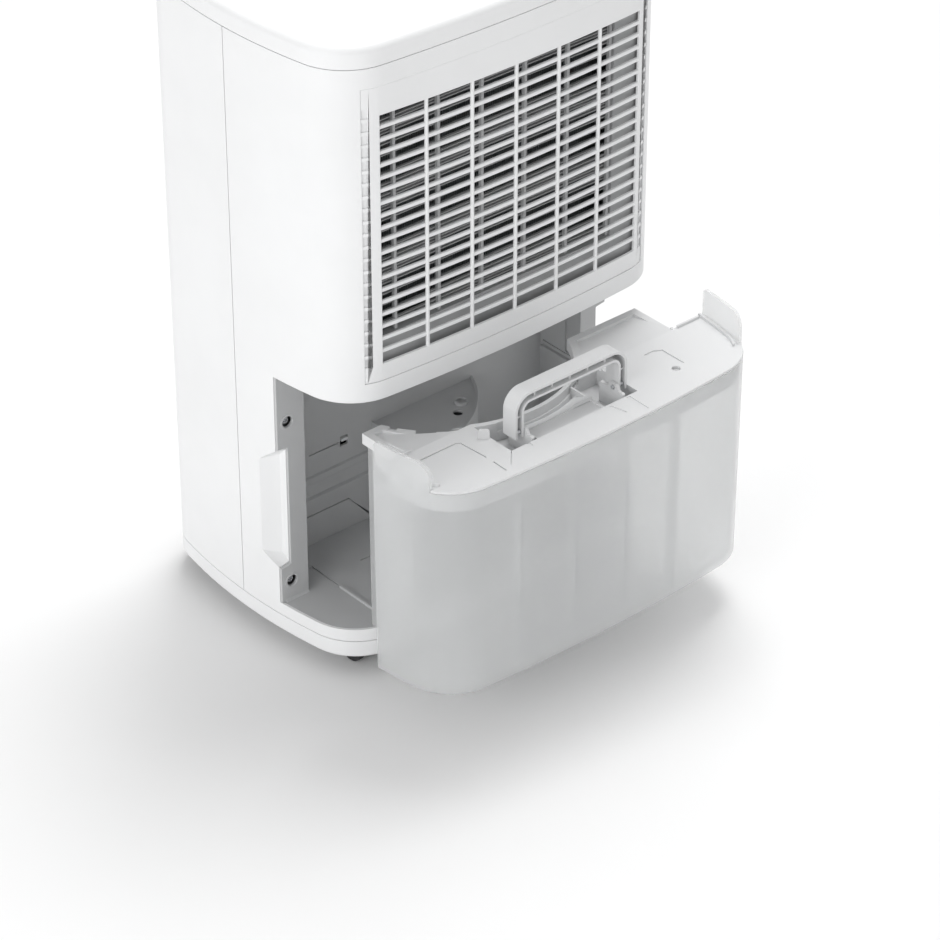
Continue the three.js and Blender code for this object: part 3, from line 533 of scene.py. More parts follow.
# ---- geometry nodes -----------------------------------------------------------------------------
class Pattern:
    """A Geometry Nodes tree under construction, with named inputs."""

    def __init__(self, name: str) -> None:
        """Start an empty tree."""
        self.tree = bpy.data.node_groups.new(name, "GeometryNodeTree")
        self.tree.interface.new_socket("Geometry", in_out="OUTPUT", socket_type="NodeSocketGeometry")
        self.inlet = self.tree.nodes.new("NodeGroupInput")
        self.outlet = self.tree.nodes.new("NodeGroupOutput")
        self.values: dict[str, object] = {}

    def size(self, name: str, kind: str, value: object) -> bpy.types.NodeSocket:
        """Add a named input.

        Args:
            name: The input's name.
            kind: Int, Float, Vector or Material.
            value: Its value for this object.

        Returns:
            The socket inside the tree.
        """
        item = self.tree.interface.new_socket(name, in_out="INPUT", socket_type=f"NodeSocket{kind}")
        self.values[item.identifier] = value
        return self.inlet.outputs[name]

    def node(self, kind: str, settings: dict[str, object] | None = None,
             **inputs: object) -> bpy.types.Node:
        """Add a node.

        Args:
            kind: Its type, without the GeometryNode prefix unless it has another one.
            settings: Its own properties.
            inputs: Its sockets by name, spaces written as underscores, as a value or another socket.

        Returns:
            The node.
        """
        node = self.tree.nodes.new(kind if kind.startswith(("Shader", "Function")) else f"GeometryNode{kind}")
        for key, value in (settings or {}).items():
            setattr(node, key, value)
        for key, value in inputs.items():
            wanted = key.replace("_", " ")
            socket = next(item for item in node.inputs if item.name == wanted and item.enabled)
            if isinstance(value, bpy.types.NodeSocket):
                self.tree.links.new(value, socket)
            else:
                socket.default_value = value
        return node

    def close(self, geometry: bpy.types.NodeSocket, finish: Finish) -> bpy.types.Object:
        """End the tree with real geometry and a material, and run it.

        Args:
            geometry: The socket that holds the pattern.
            finish: The finish it gets.

        Returns:
            A plain mesh object in millimetres.
        """
        material = self.size("Finish", "Material", FINISHES.of(finish))
        real = self.node("RealizeInstances", Geometry=geometry)
        dressed = self.node("SetMaterial", Geometry=real.outputs["Geometry"], Material=material)
        self.tree.links.new(dressed.outputs["Geometry"], self.outlet.inputs["Geometry"])
        obj = bpy.data.objects.new("pattern", bpy.data.meshes.new("pattern"))
        bpy.context.scene.collection.objects.link(obj)
        modifier = obj.modifiers.new("Pattern", "NODES")
        modifier.node_group = self.tree
        for identifier, value in self.values.items():
            modifier[identifier] = value
        bake(obj)
        bpy.data.node_groups.remove(self.tree)
        return obj


def row_of_blocks(name: str, finish: Finish, count: int, first: Point3, step: Point3,
                  size: Point3) -> bpy.types.Object:
    """Repeat a block along a straight row with Geometry Nodes.

    Args:
        name: The pattern's name.
        finish: Its finish.
        count: How many blocks.
        first: The first block's middle.
        step: The way from one to the next.
        size: Each block's size.

    Returns:
        A plain mesh object in millimetres.
    """
    pattern = Pattern(name)
    line = pattern.node("MeshLine", {"mode": "OFFSET"}, Count=pattern.size("Count", "Int", count),
                        Start_Location=pattern.size("First", "Vector", first),
                        Offset=pattern.size("Step", "Vector", step))
    block = pattern.node("MeshCube", Size=pattern.size("Size", "Vector", size))
    copies = pattern.node("InstanceOnPoints", Points=line.outputs["Mesh"], Instance=block.outputs["Mesh"])
    return pattern.close(copies.outputs["Instances"], finish)


def ring_of_blocks(name: str, finish: Finish, count: int, centre: Point3, radius: float,
                   size: Point3) -> bpy.types.Object:
    """Repeat a block round a circle about the X axis with Geometry Nodes.

    Args:
        name: The pattern's name.
        finish: Its finish.
        count: How many blocks.
        centre: The circle's middle.
        radius: Where the blocks' middles stand.
        size: Each block's size along X, outwards and round.

    Returns:
        A plain mesh object in millimetres.
    """
    pattern = Pattern(name)
    circle = pattern.node("MeshCircle", Vertices=pattern.size("Count", "Int", count),
                          Radius=pattern.size("Radius", "Float", radius))
    block = pattern.node("MeshCube", Size=pattern.size("Size", "Vector", (size[1], size[2], size[0])))
    spot = pattern.node("InputPosition")
    aim = pattern.node("FunctionNodeAlignRotationToVector", {"axis": "X"}, Vector=spot.outputs["Position"])
    copies = pattern.node("InstanceOnPoints", Points=circle.outputs["Mesh"], Instance=block.outputs["Mesh"],
                          Rotation=aim.outputs["Rotation"])
    stood = pattern.node("Transform", Geometry=copies.outputs["Instances"],
                         Translation=pattern.size("Centre", "Vector", centre),
                         Rotation=(0.0, math.pi / 2, 0.0))
    return pattern.close(stood.outputs["Geometry"], finish)


def bowed_slats(name: str, finish: Finish, count: int, first_z: float, pitch: float, half: float,
                middle_y: float, end_y: float, section: Point2, edge: float) -> bpy.types.Object:
    """Stack slats that follow a bowed face with Geometry Nodes.

    Args:
        name: The pattern's name.
        finish: Its finish.
        count: How many slats.
        first_z: The lowest slat's height.
        pitch: The height from one to the next.
        half: Half their length.
        middle_y: The depth at the middle of a slat.
        end_y: The depth at its ends.
        section: The slat's depth and height.
        edge: The radius of its rounded edges.

    Returns:
        A plain mesh object in millimetres.
    """
    pattern = Pattern(name)
    path = pattern.node("CurveQuadraticBezier", Resolution=24, Start=(-half, end_y, 0.0),
                        Middle=(0.0, 2 * middle_y - end_y, 0.0), End=(half, end_y, 0.0))
    shape = pattern.node("CurvePrimitiveQuadrilateral", Width=pattern.size("Tall", "Float", section[1]),
                         Height=pattern.size("Deep", "Float", section[0]))
    soft = pattern.node("FilletCurve", {"mode": "POLY"}, Curve=shape.outputs["Curve"], Count=3,
                        Radius=pattern.size("Edge", "Float", edge))
    slat = pattern.node("CurveToMesh", Curve=path.outputs["Curve"], Profile_Curve=soft.outputs["Curve"],
                        Fill_Caps=True)
    line = pattern.node("MeshLine", {"mode": "OFFSET"}, Count=pattern.size("Count", "Int", count),
                        Start_Location=(0.0, 0.0, first_z),
                        Offset=pattern.size("Pitch", "Vector", (0.0, 0.0, pitch)))
    copies = pattern.node("InstanceOnPoints", Points=line.outputs["Mesh"], Instance=slat.outputs["Mesh"])
    return pattern.close(copies.outputs["Instances"], finish)


def bowed_row(name: str, finish: Finish, count: int, first: Point3, pitch: float, size: Point3,
              bow: float = 0.0) -> bpy.types.Object:
    """Repeat an upright block along X with Geometry Nodes, following a bowed face.

    Args:
        name: The pattern's name.
        finish: Its finish.
        count: How many blocks.
        first: The first block's middle, its Y taken at the bow's crown.
        pitch: The way from one to the next.
        size: Each block's size.
        bow: How far back the face lies per square millimetre of X.

    Returns:
        A plain mesh object in millimetres.
    """
    pattern = Pattern(name)
    line = pattern.node("MeshLine", {"mode": "OFFSET"}, Count=pattern.size("Count", "Int", count),
                        Start_Location=pattern.size("First", "Vector", first),
                        Offset=pattern.size("Pitch", "Vector", (pitch, 0.0, 0.0)))
    spot = pattern.node("InputPosition")
    parts = pattern.node("ShaderNodeSeparateXYZ", Vector=spot.outputs["Position"])
    square = pattern.node("ShaderNodeMath", {"operation": "POWER"})
    pattern.tree.links.new(parts.outputs["X"], square.inputs[0])
    square.inputs[1].default_value = 2.0
    set_back = pattern.node("ShaderNodeMath", {"operation": "MULTIPLY"})
    pattern.tree.links.new(square.outputs["Value"], set_back.inputs[0])
    pattern.tree.links.new(pattern.size("Bow", "Float", bow), set_back.inputs[1])
    offset = pattern.node("ShaderNodeCombineXYZ", Y=set_back.outputs["Value"])
    placed = pattern.node("SetPosition", Geometry=line.outputs["Mesh"], Offset=offset.outputs["Vector"])
    block = pattern.node("MeshCube", Size=pattern.size("Size", "Vector", size))
    copies = pattern.node("InstanceOnPoints", Points=placed.outputs["Geometry"],
                          Instance=block.outputs["Mesh"])
    return pattern.close(copies.outputs["Instances"], finish)


# ---- plan outlines ------------------------------------------------------------------------------
@dataclass(frozen=True)
class BodyPlan:
    """The housing's plan: two bowed end faces and two bowed sides with rounded corners between them."""

    width: float = 386.0
    depth: float = 278.2
    side_bow: float = 18.2
    tank_face_bow: float = 10.5
    front_bow: float = 6.0
    tank_corner: float = 51.3
    front_corner: float = 47.2
    face_steps: int = 12
    corner_steps: int = 16
    side_steps: int = 7

    @property
    def half(self) -> float:
        """Half the width."""
        return self.width / 2

    @property
    def reach(self) -> float:
        """Half the depth."""
        return self.depth / 2

    def end(self, radius: float, face_bow: float) -> list[Point2]:
        """Draw the right half of one end with +Y outwards.

        Args:
            radius: The corner's radius.
            face_bow: How far the end face bows.

        Returns:
            Points from the middle of the end face round to the side.
        """
        cx, cy = self.half - radius, self.reach - radius
        face = side = (0.0, 0.0)
        for _ in range(12):
            x, lean = cx, 0.0
            for _ in range(4):
                lean = math.atan(2 * face_bow * x / self.half ** 2)
                x = cx + radius * math.sin(lean)
            face = (x, self.reach - face_bow * (x / self.half) ** 2)
            cy = face[1] - radius * math.cos(lean)
            y, lean = cy, 0.0
            for _ in range(4):
                lean = math.atan(2 * self.side_bow * y / self.reach ** 2)
                y = cy + radius * math.sin(lean)
            side = (self.half - self.side_bow * (y / self.reach) ** 2, y)
            cx = side[0] - radius * math.cos(lean)
        points = []
        for i in range(self.face_steps):
            x = face[0] * i / self.face_steps
            points.append((x, self.reach - face_bow * (x / self.half) ** 2))
        start = math.atan2(face[1] - cy, face[0] - cx)
        stop = math.atan2(side[1] - cy, side[0] - cx)
        for i in range(self.corner_steps + 1):
            angle = start + (stop - start) * i / self.corner_steps
            points.append((cx + radius * math.cos(angle), cy + radius * math.sin(angle)))
        for i in range(1, self.side_steps):
            y = side[1] * (1 - i / self.side_steps)
            points.append((self.half - self.side_bow * (y / self.reach) ** 2, y))
        return points

    def outline(self, inset: float = 0.0) -> list[Point2]:
        """Return the whole plan, anticlockwise from the middle of the tank's face, inset evenly."""
        tank_end = [(x, -y) for x, y in self.end(self.tank_corner, self.tank_face_bow)]
        right = [*tank_end, (self.half, 0.0), *reversed(self.end(self.front_corner, self.front_bow))]
        ring = right + [(-x, y) for x, y in right[1:-1][::-1]]
        inner = []
        for i, (x, y) in enumerate(ring):
            along = (Vector(ring[(i + 1) % len(ring)]) - Vector(ring[i - 1])).normalized()
            inner.append((x - along.y * inset, y + along.x * inset))
        return inner

    def solid(self, low: float, high: float, inset: float = 0.0, low_round: float = 0.0,
              high_round: float = 0.0) -> bpy.types.Object:
        """Raise the plan between two heights, with its rims rounded over."""
        steps = 6
        levels = []
        for radius, height, way in ((low_round, low, 1), (high_round, high, -1)):
            part = [(inset, height)]
            if radius > 0:
                part = [(inset + radius * (1 - math.sin(a)), height + way * radius * (1 - math.cos(a)))
                        for a in (math.pi / 2 * i / steps for i in range(steps + 1))]
            levels += part if way > 0 else part[::-1]
        return Stock.loft([[(x, y, z) for x, y in self.outline(level)] for level, z in levels])

    def face_y(self, x: float) -> float:
        """Return the tank side's face at a place across it."""
        return -self.reach + self.tank_face_bow * (x / self.half) ** 2


PLAN = BodyPlan()


def ahead_of(y: float, low: float, high: float) -> bpy.types.Object:
    """Return everything on the tank's side of a plane."""
    return Stock.box((-FAR, FAR), (-FAR, y), (low, high))


def behind(y: float, low: float, high: float) -> bpy.types.Object:
    """Return everything on the far side of a plane."""
    return Stock.box((-FAR, FAR), (y, FAR), (low, high))


# ---- housing ------------------------------------------------------------------------------------
@dataclass
class Housing:
    """The base pan, the two shells and the top cover."""

    base: Span = (19.9, 36.8)
    base_top: float = 37.8
    sill: float = 49.8
    bay_top: float = 283.8
    shell_top: float = 596.0
    height: float = 616.0
    wall: float = 2.6
    gap: float = 0.4
    seam_y: float = 4.3
    seam: float = 1.0
    strip_y: float = -48.5
    strip_thick: float = 2.4
    scoop_floor: float = 180.0
    grille_half: float = 157.6
    grille: Span = (301.0, 578.0)
    castor: Point2 = (146.0, 104.0)
    outlet: tuple[float, float, float] = (120.0, 36.0, 92.0)
    panel: tuple[float, float, float] = (96.0, -70.0, -14.0)

    def scoop(self, side: int, grow: float) -> bpy.types.Object:
        """Return the finger recess beside the bay as a cutter, grown evenly."""
        out, floor = PLAN.half + 8, self.scoop_floor - grow
        front = self.strip_y - 2
        points = []
        for x, y, low, high in ((out, front, 84, 213), (out, -16 + grow, 97, 187), (floor, front, 87, 210),
                                (floor, -37 + grow, 94, 197)):
            points += [(side * x, y, low - grow), (side * x, y, high + grow)]
        return Stock.hull(points)

    def base_pan(self) -> None:
        """Build the ring under the seam, hollow from below."""
        pan = PLAN.solid(*self.base, low_round=3.5, high_round=0.8)
        hollow = PLAN.solid(self.base[0] - 1, 31.5, inset=4)
        stems = [Stock.rod("z", 4.5, (30, 40), (sx * self.castor[0], sy * self.castor[1]))
                 for sx in (-1, 1) for sy in (-1, 1)]
        ribs = row_of_blocks("pan_ribs", Finish.WHITE, 9, (-128.0, 0.0, 29.0), (32.0, 0.0, 0.0),
                             (1.6, 200.0, 6.0))
        pan = fitted(pan, cut=[hollow])
        settle(fitted(pan, add=[ribs], cut=stems), "base_ring", BODY_SHIFT, Finish.WHITE, "housing",
               ("base_pan",))

    def wall_ring(self) -> bpy.types.Object:
        """Return the full height wall all round."""
        outer = PLAN.solid(self.base_top, self.shell_top)
        return fitted(outer, cut=[PLAN.solid(self.base_top - 1, self.shell_top + 1, inset=self.wall)])

    def shells(self) -> None:
        """Build the shell on the tank's side and the one opposite it."""
        rear = fitted(self.wall_ring(), cut=[behind(self.seam_y - self.seam / 2, 0, self.height)])
        for side in (-1, 1):
            pad = fitted(self.scoop(side, self.wall),
                         keep=[PLAN.solid(self.base_top, self.shell_top, inset=0.2)])
            rear = fitted(rear, add=[pad], cut=[self.scoop(side, 0)])
        bay = ahead_of(self.strip_y + self.strip_thick + self.gap, self.sill, self.bay_top)
        window = Stock.box((-self.grille_half, self.grille_half), (-FAR, -90), self.grille)
        rear = fitted(rear, cut=[bay, window])
        settle(rear, "tank_side_shell", BODY_SHIFT, Finish.WHITE, "housing", ("rear_shell",), edge=0.6,
               segments=3)
        front = fitted(self.wall_ring(), cut=[ahead_of(self.seam_y + self.seam / 2, 0, self.height),
                                              Stock.rod("x", 7.4, (173, 198), (60, 78))])
        settle(front, "far_side_shell", BODY_SHIFT, Finish.WHITE, "housing", ("front_shell",), edge=0.5)

    def top_cover(self) -> None:
        """Build the cover with its outlet and its panel recess."""
        low = self.shell_top + self.gap
        cover = PLAN.solid(low, self.height, low_round=0.8, high_round=7)
        ox, oy0, oy1 = self.outlet
        px, py0, py1 = self.panel
        opening = rounded([(-ox, oy0), (ox, oy0), (ox, oy1), (-ox, oy1)], [4] * 4)
        recess = rounded([(-px, py0), (px, py0), (px, py1), (-px, py1)], [6] * 4)
        cover = fitted(cover, cut=[PLAN.solid(low - 2, self.height - 4, inset=10),
                                   Stock.prism(opening, self.height - 8, self.height + 1),
                                   Stock.prism(recess, self.height - 8, self.height + 1)])
        settle(cover, "top_lid", BODY_SHIFT, Finish.WHITE, "housing", ("top_cover",), edge=0.6)

    def build(self) -> None:
        """Build all of it."""
        self.base_pan()
        self.shells()
        self.top_cover()


# ---- tank bay -----------------------------------------------------------------------------------
@dataclass
class TankBay:
    """The grey liner of the bay with its strips, rear bulge, shelf and rails, and the strips' screws."""

    housing: Housing
    half: float = 161.0
    back_y: float = 6.0
    bulge: Point2 = (-30.0, 52.0)
    bulge_r: float = 117.0
    shelf_z: float = 150.0
    shelf_left: float = -42.0
    skin: float = 2.4
    ring: Point2 = (41.3, -21.1)
    switch: Point2 = (-74.0, 144.0)
    screws: tuple[Point2, ...] = ((-179.0, 69.6), (-179.0, 234.7), (179.0, 69.6), (179.0, 234.7))
    screw_hole_r: float = 5.4

    def walls(self) -> bpy.types.Object:
        """Return the floor, ceiling, back, side walls and strips as one shell."""
        house = self.housing
        top = house.bay_top + 3.2
        inset = house.wall + 0.5

        def trimmed(tool: bpy.types.Object) -> bpy.types.Object:
            """Trim a slab to the inside of the housing."""
            return fitted(tool, keep=[PLAN.solid(house.base_top + house.gap, top, inset=inset)])

        floor = trimmed(ahead_of(self.back_y + self.skin, house.sill - 3, house.sill - 0.2))
        ceiling = trimmed(ahead_of(self.back_y + self.skin, house.bay_top + 0.4, top))
        back = Stock.box((-self.half - 2, self.half + 2), (self.back_y, self.back_y + self.skin),
                         (house.sill - 3, top))
        liner = fitted(floor, add=[ceiling, back])
        for side in (-1, 1):
            inner, outer = sorted((side * self.half, side * (self.half + self.skin)))
            wall = Stock.box((inner, outer), (house.strip_y, self.back_y + 1), (house.sill - 3, top))
            low, high = sorted((side * self.half, side * FAR))
            span, feet = (house.strip_y, house.strip_y + house.strip_thick), (house.sill - 3, top)
            cover = PLAN.solid(house.sill + house.gap, house.bay_top - house.gap, inset=house.gap)
            strip = fitted(trimmed(Stock.box((low, high), span, feet)),
                           add=[fitted(Stock.box((low, high), span, feet), keep=[cover])],
                           cut=[house.scoop(side, house.gap)])
            liner = fitted(liner, add=[wall, strip])
        return liner

    def bulge_shell(self, liner: bpy.types.Object) -> bpy.types.Object:
        """Raise the round bulge and its shelf from the back wall."""
        low = self.housing.sill - 1

        def drum(radius: float, left: float, back: float, bottom: float, top: float) -> bpy.types.Object:
            """Return a slice of a drum against the back wall."""
            body = Stock.rod("z", radius, (bottom, top), self.bulge, 128)
            return fitted(body, keep=[Stock.box((left, FAR), (-FAR, back), (0, top))])

        outer = drum(self.bulge_r, self.shelf_left, self.back_y + 1, low, self.shelf_z)
        core = drum(self.bulge_r - self.skin, self.shelf_left + self.skin, self.back_y + 5, low - 7,
                    self.shelf_z - self.skin)
        kerb_wide = 2.2
        kerb_room = drum(self.bulge_r - kerb_wide, self.shelf_left + kerb_wide, self.back_y + 5, 0,
                         self.shelf_z + 4)
        kerb = fitted(drum(self.bulge_r, self.shelf_left, self.back_y + 1, self.shelf_z - 1,
                           self.shelf_z + 1.6), cut=[kerb_room])
        return fitted(liner, add=[outer, kerb], cut=[core])

    def fittings(self, liner: bpy.types.Object) -> bpy.types.Object:
        """Add the ledges, rails and grooves seen on the back wall and floor."""
        sill, back = self.housing.sill - 0.2, self.back_y
        adds, cuts = [], []
        for z, proud in ((122.0, 2.0), (100.0, 2.6)):
            profile = [(back + 1, z - 9), (back + 1, z + 2), (back - proud, z), (back - proud, z - 6)]
            adds.append(Stock.beam(profile, -self.half - 1, self.shelf_left + 4))
        rail = [(-137.5, sill - 1), (-133.5, sill - 1), (-134.2, sill + 2.2), (-136.8, sill + 2.2)]
        adds.append(Stock.plate(rail, -108, -62))
        cuts.append(Stock.box((-136.4, -134.6), (-62, -20), (sill - 1.2, sill + 1)))
        cuts.append(Stock.box((-self.half, -136), (-21.6, -20), (sill - 1, sill + 1)))
        cuts.append(Stock.box((-96, -70), (-42.6, -41), (sill - 1.2, sill + 1)))
        cuts.append(Stock.box((-114, -80), (back - 0.1, back + 1.4), (144.4, 146.0)))
        cuts.append(Stock.box((-self.half, -70), (back - 0.1, back + 1.2), (80.3, 81.7)))
        diagonal = [(-70.6, 82.0), (-69.6, 80.6), (-46, 56), (-47.2, 54.8)]
        cuts.append(Stock.plate(diagonal, back - 0.1, back + 1.2))
        adds.append(fitted(Stock.rod("z", 6.4, (self.shelf_z - 1, self.shelf_z + 3), self.ring),
                           cut=[Stock.rod("z", 4.4, (self.shelf_z, self.shelf_z + 5), self.ring)]))
        cuts.append(Stock.rod("z", 4.6, (self.shelf_z - 5, self.shelf_z + 3), (28, -32)))
        x, z = self.switch
        cuts.append(Stock.box((x - 4.4, x + 4.4), (back - 3, back + 4), (z - 4, z + 6)))
        side = self.half
        adds.append(Stock.box((side - 3.4, side + 1), (self.housing.strip_y + 5, 2), (150.5, 154.0)))
        cuts.append(Stock.box((side - 0.1, side + 1.6), (-34, -28), (160, 262)))
        cuts.append(Stock.box((side - 0.1, side + 1.2), (-46, 2), (157.4, 159.0)))
        return fitted(liner, add=adds, cut=cuts)

    def strips(self, liner: bpy.types.Object) -> bpy.types.Object:
        """Sink the screw seats into the strips, with their raised rims and the strips' feet."""
        y = self.housing.strip_y
        for x, z in self.screws:
            profile = [(7.6, y + 0.4), (7.6, y - 0.1), (7.3, y - 0.35), (6.0, y - 0.35), (5.6, y + 0.4)]
            rim = Stock.lathe("y", (x, z), profile, 48)
            liner = fitted(liner, add=[rim], cut=[Stock.rod("y", self.screw_hole_r, (y - 2, y + 4), (x, z))])
        sill, toe = self.housing.sill, y - 1.6
        for side in (-1, 1):
            foot = [(y + 1, sill - 1), (y + 1, sill + 2), (y, sill + 2), (toe, sill + 0.2), (toe, sill - 1)]
            low, high = sorted((side * self.half, side * 186.5))
            liner = fitted(liner, add=[Stock.beam(foot, low, high)])
        return liner

    def build(self) -> None:
        """Build the liner and its four screws."""
        liner = self.strips(self.fittings(self.bulge_shell(self.walls())))
        settle(liner, "bay_liner", BODY_SHIFT, Finish.LINER, "housing", ("tank_bay_liner",), edge=0.5)
        y = self.housing.strip_y + 2.8
        for i, (x, z) in enumerate(self.screws):
            profile = [(2.6, y + 0.1), (3.6, y + 0.7), (4.0, y + 1.5), (4.0, y + 2.4), (1.8, y + 2.6),
                       (1.8, y + 9), (0.6, y + 11)]
            head = Stock.lathe("y", (x, z), profile, 40)
            cross = [Stock.box((x - 2.3, x + 2.3), (y - 1, y + 1.3), (z - 0.5, z + 0.5)),
                     Stock.box((x - 0.5, x + 0.5), (y - 1, y + 1.3), (z - 2.3, z + 2.3))]
            settle(fitted(head, cut=cross), f"screw_{i + 1}", BODY_SHIFT, Finish.STEEL, "housing",
                   (f"strip_screw_{i + 1}",), edge=0.08, segments=1)


# ---- intake -------------------------------------------------------------------------------------
@dataclass
class Intake:
    """The removable intake grille with its slats, bars and border vents, and the filter behind it."""

    housing: Housing
    middle: float = 2.0
    pitch: float = 47.8
    bottom: float = 317.4
    slat_pitch: float = 11.7
    slats: int = 20
    slat: Point2 = (3.6, 3.3)
    bar: Point2 = (3.0, 3.0)

    @property
    def top(self) -> float:
        """The lattice's top edge."""
        return self.bottom + self.slats * self.slat_pitch

    @property
    def half(self) -> float:
        """Half the lattice's width."""
        return 3 * self.pitch

    def frame(self) -> None:
        """Build the bowed panel round the lattice, with its row of vents down each border."""
        house = self.housing
        edge = house.grille_half - house.gap
        skin = fitted(PLAN.solid(house.grille[0] + house.gap, house.grille[1] - house.gap, inset=0.5),
                      cut=[PLAN.solid(0, house.height, inset=3.4)],
                      keep=[Stock.box((-edge, edge), (-FAR, -90), (0, house.height))])
        skin = fitted(skin, cut=[Stock.box((self.middle - self.half, self.middle + self.half), (-FAR, -90),
                                           (self.bottom, self.top))])
        for side in (-1, 1):
            first = (side * (edge - 2.6), -128.0, self.bottom + 3.6)
            seats = row_of_blocks("border_seats", Finish.WHITE, self.slats + 1, first,
                                  (0.0, 0.0, self.slat_pitch), (7.2, 24.0, 8.4))
            skin = fitted(skin, cut=[fitted(seats, cut=[PLAN.solid(0, house.height, inset=1.9)])])
        settle(skin, "grille_frame", BODY_SHIFT, Finish.WHITE, "intake_grille", ("intake_grille",), edge=0.35)

    def lattice(self) -> None:
        """Build the slats and the bars across them."""
        bow = PLAN.tank_face_bow / PLAN.half ** 2
        crown = -PLAN.reach + 1.3 + self.slat[0] / 2
        reach = self.half + 3.0
        slats = bowed_slats("grille_slats", Finish.WHITE, self.slats - 1, self.bottom + self.slat_pitch,
                            self.slat_pitch, reach, crown, crown + bow * reach ** 2, self.slat, 1.0)
        tall = self.top - self.bottom + 4
        wide, deep = self.bar
        first = (self.middle - 2 * self.pitch, -PLAN.reach + 0.8 + deep / 2, (self.bottom + self.top) / 2)
        bars = bowed_row("grille_bars", Finish.WHITE, 5, first, self.pitch, (wide, deep, tall), bow)
        edges = bars.modifiers.new("Edges", "BEVEL")
        edges.width, edges.segments = 0.9, 3
        settle(fitted(slats, add=[bake(bars)]), "grille_lattice", BODY_SHIFT, Finish.WHITE, "intake_grille",
               edge=0)

    def filter(self) -> None:
        """Build the filter frame, its ribs and its fine slats."""
        half, low, high = self.half + 4, self.bottom - 14, self.top + 8
        y = (-126.5, -118.0)
        sill = low + 36
        frame_ring = fitted(Stock.box((-half, half), y, (low, high)),
                            cut=[Stock.box((-half + 8, half - 26), (-130, -110), (sill, high - 8))])
        settle(frame_ring, "filter_frame", BODY_SHIFT, Finish.FILTER, "intake_grille", ("air_filter",),
               edge=0.4)
        first = (-2.5 * self.pitch, -122.4, (sill + high) / 2 - 2)
        ribs = bowed_row("filter_ribs", Finish.LINER, 6, first, self.pitch, (3.0, 3.6, high - sill - 2))
        settle(ribs, "filter_ribs", BODY_SHIFT, Finish.LINER, "intake_grille", edge=0.3)
        rows = 21
        for name, rise in (("upper", 1.5), ("lower", -1.5)):
            fine = row_of_blocks(f"filter_slats_{name}", Finish.FILTER, rows, (-9.0, -119.6, sill + 7 + rise),
                                 (0.0, 0.0, 10.03), (2 * half - 34, 2.6, 0.9))
            settle(fine, f"filter_slats_{name}", BODY_SHIFT, Finish.FILTER, "intake_grille", edge=0)

    def build(self) -> None:
        """Build all of it."""
        self.frame()
        self.lattice()
        self.filter()


@dataclass
class Coil:
    """A finned block with its end plates and the return bends of its tube."""

    node: str
    y: Span
    z: Span = (312.0, 560.0)
    half: float = 138.0
    fins: int = 110
    rows: int = 10

    def build(self) -> None:
        """Build the fins, the plates and the tube."""
        middle, deep = sum(self.y) / 2, self.y[1] - self.y[0]
        pitch = 2 * self.half / (self.fins + 1)
        first = (-self.half + pitch, middle, sum(self.z) / 2)
        # The fins, plates and capacitor take the darkened fin metal, painted shade for the dim inside of the
        # housing.
        fins = row_of_blocks(f"{self.node}_fins", Finish.FINS, self.fins, first,
                             (pitch, 0.0, 0.0), (0.3, deep - 4, self.z[1] - self.z[0]))
        settle(fins, f"{self.node}_fins", BODY_SHIFT, Finish.FINS, "housing", (self.node,), edge=0)
        for side in (-1, 1):
            x0, x1 = sorted((side * self.half, side * (self.half + 1.6)))
            end_plate = Stock.box((x0, x1), self.y, (self.z[0] - 3, self.z[1] + 3))
            hand = "right" if side > 0 else "left"
            settle(end_plate, f"{self.node}_plate_{hand}", BODY_SHIFT, Finish.FINS, "housing", edge=0.3)
        self.tube(middle)

    def tube(self, middle: float) -> None:
        """Run the tube back and forth through the fins."""
        step = (self.z[1] - self.z[0]) / self.rows
        points = []
        for row in range(self.rows):
            z = self.z[0] + step * (row + 0.5)
            side = 1 if row % 2 else -1
            reach = self.half + 3
            points += [(-side * reach, z), (side * reach, z)]
            if row < self.rows - 1:
                for i in range(1, 8):
                    angle = -math.pi / 2 + math.pi * i / 8
                    points.append((side * (reach + step / 2 * math.cos(angle)),
                                   z + step / 2 + step / 2 * math.sin(angle)))
        curve = bpy.data.curves.new("tube", "CURVE")
        curve.dimensions = "3D"
        curve.bevel_depth, curve.bevel_resolution, curve.use_fill_caps = 3.4, 3, True
        spline = curve.splines.new("POLY")
        spline.points.add(len(points) - 1)
        for point, (x, z) in zip(spline.points, points):
            point.co = (x, middle, z, 1.0)
        line = bpy.data.objects.new("tube", curve)
        bpy.context.scene.collection.objects.link(line)
        bpy.context.view_layer.update()
        graph = bpy.context.evaluated_depsgraph_get()
        tube = bpy.data.objects.new("tube", bpy.data.meshes.new_from_object(line.evaluated_get(graph)))
        bpy.context.scene.collection.objects.link(tube)
        bpy.data.objects.remove(line)
        settle(tube, f"{self.node}_tube", BODY_SHIFT, Finish.COPPER, "housing", edge=0)


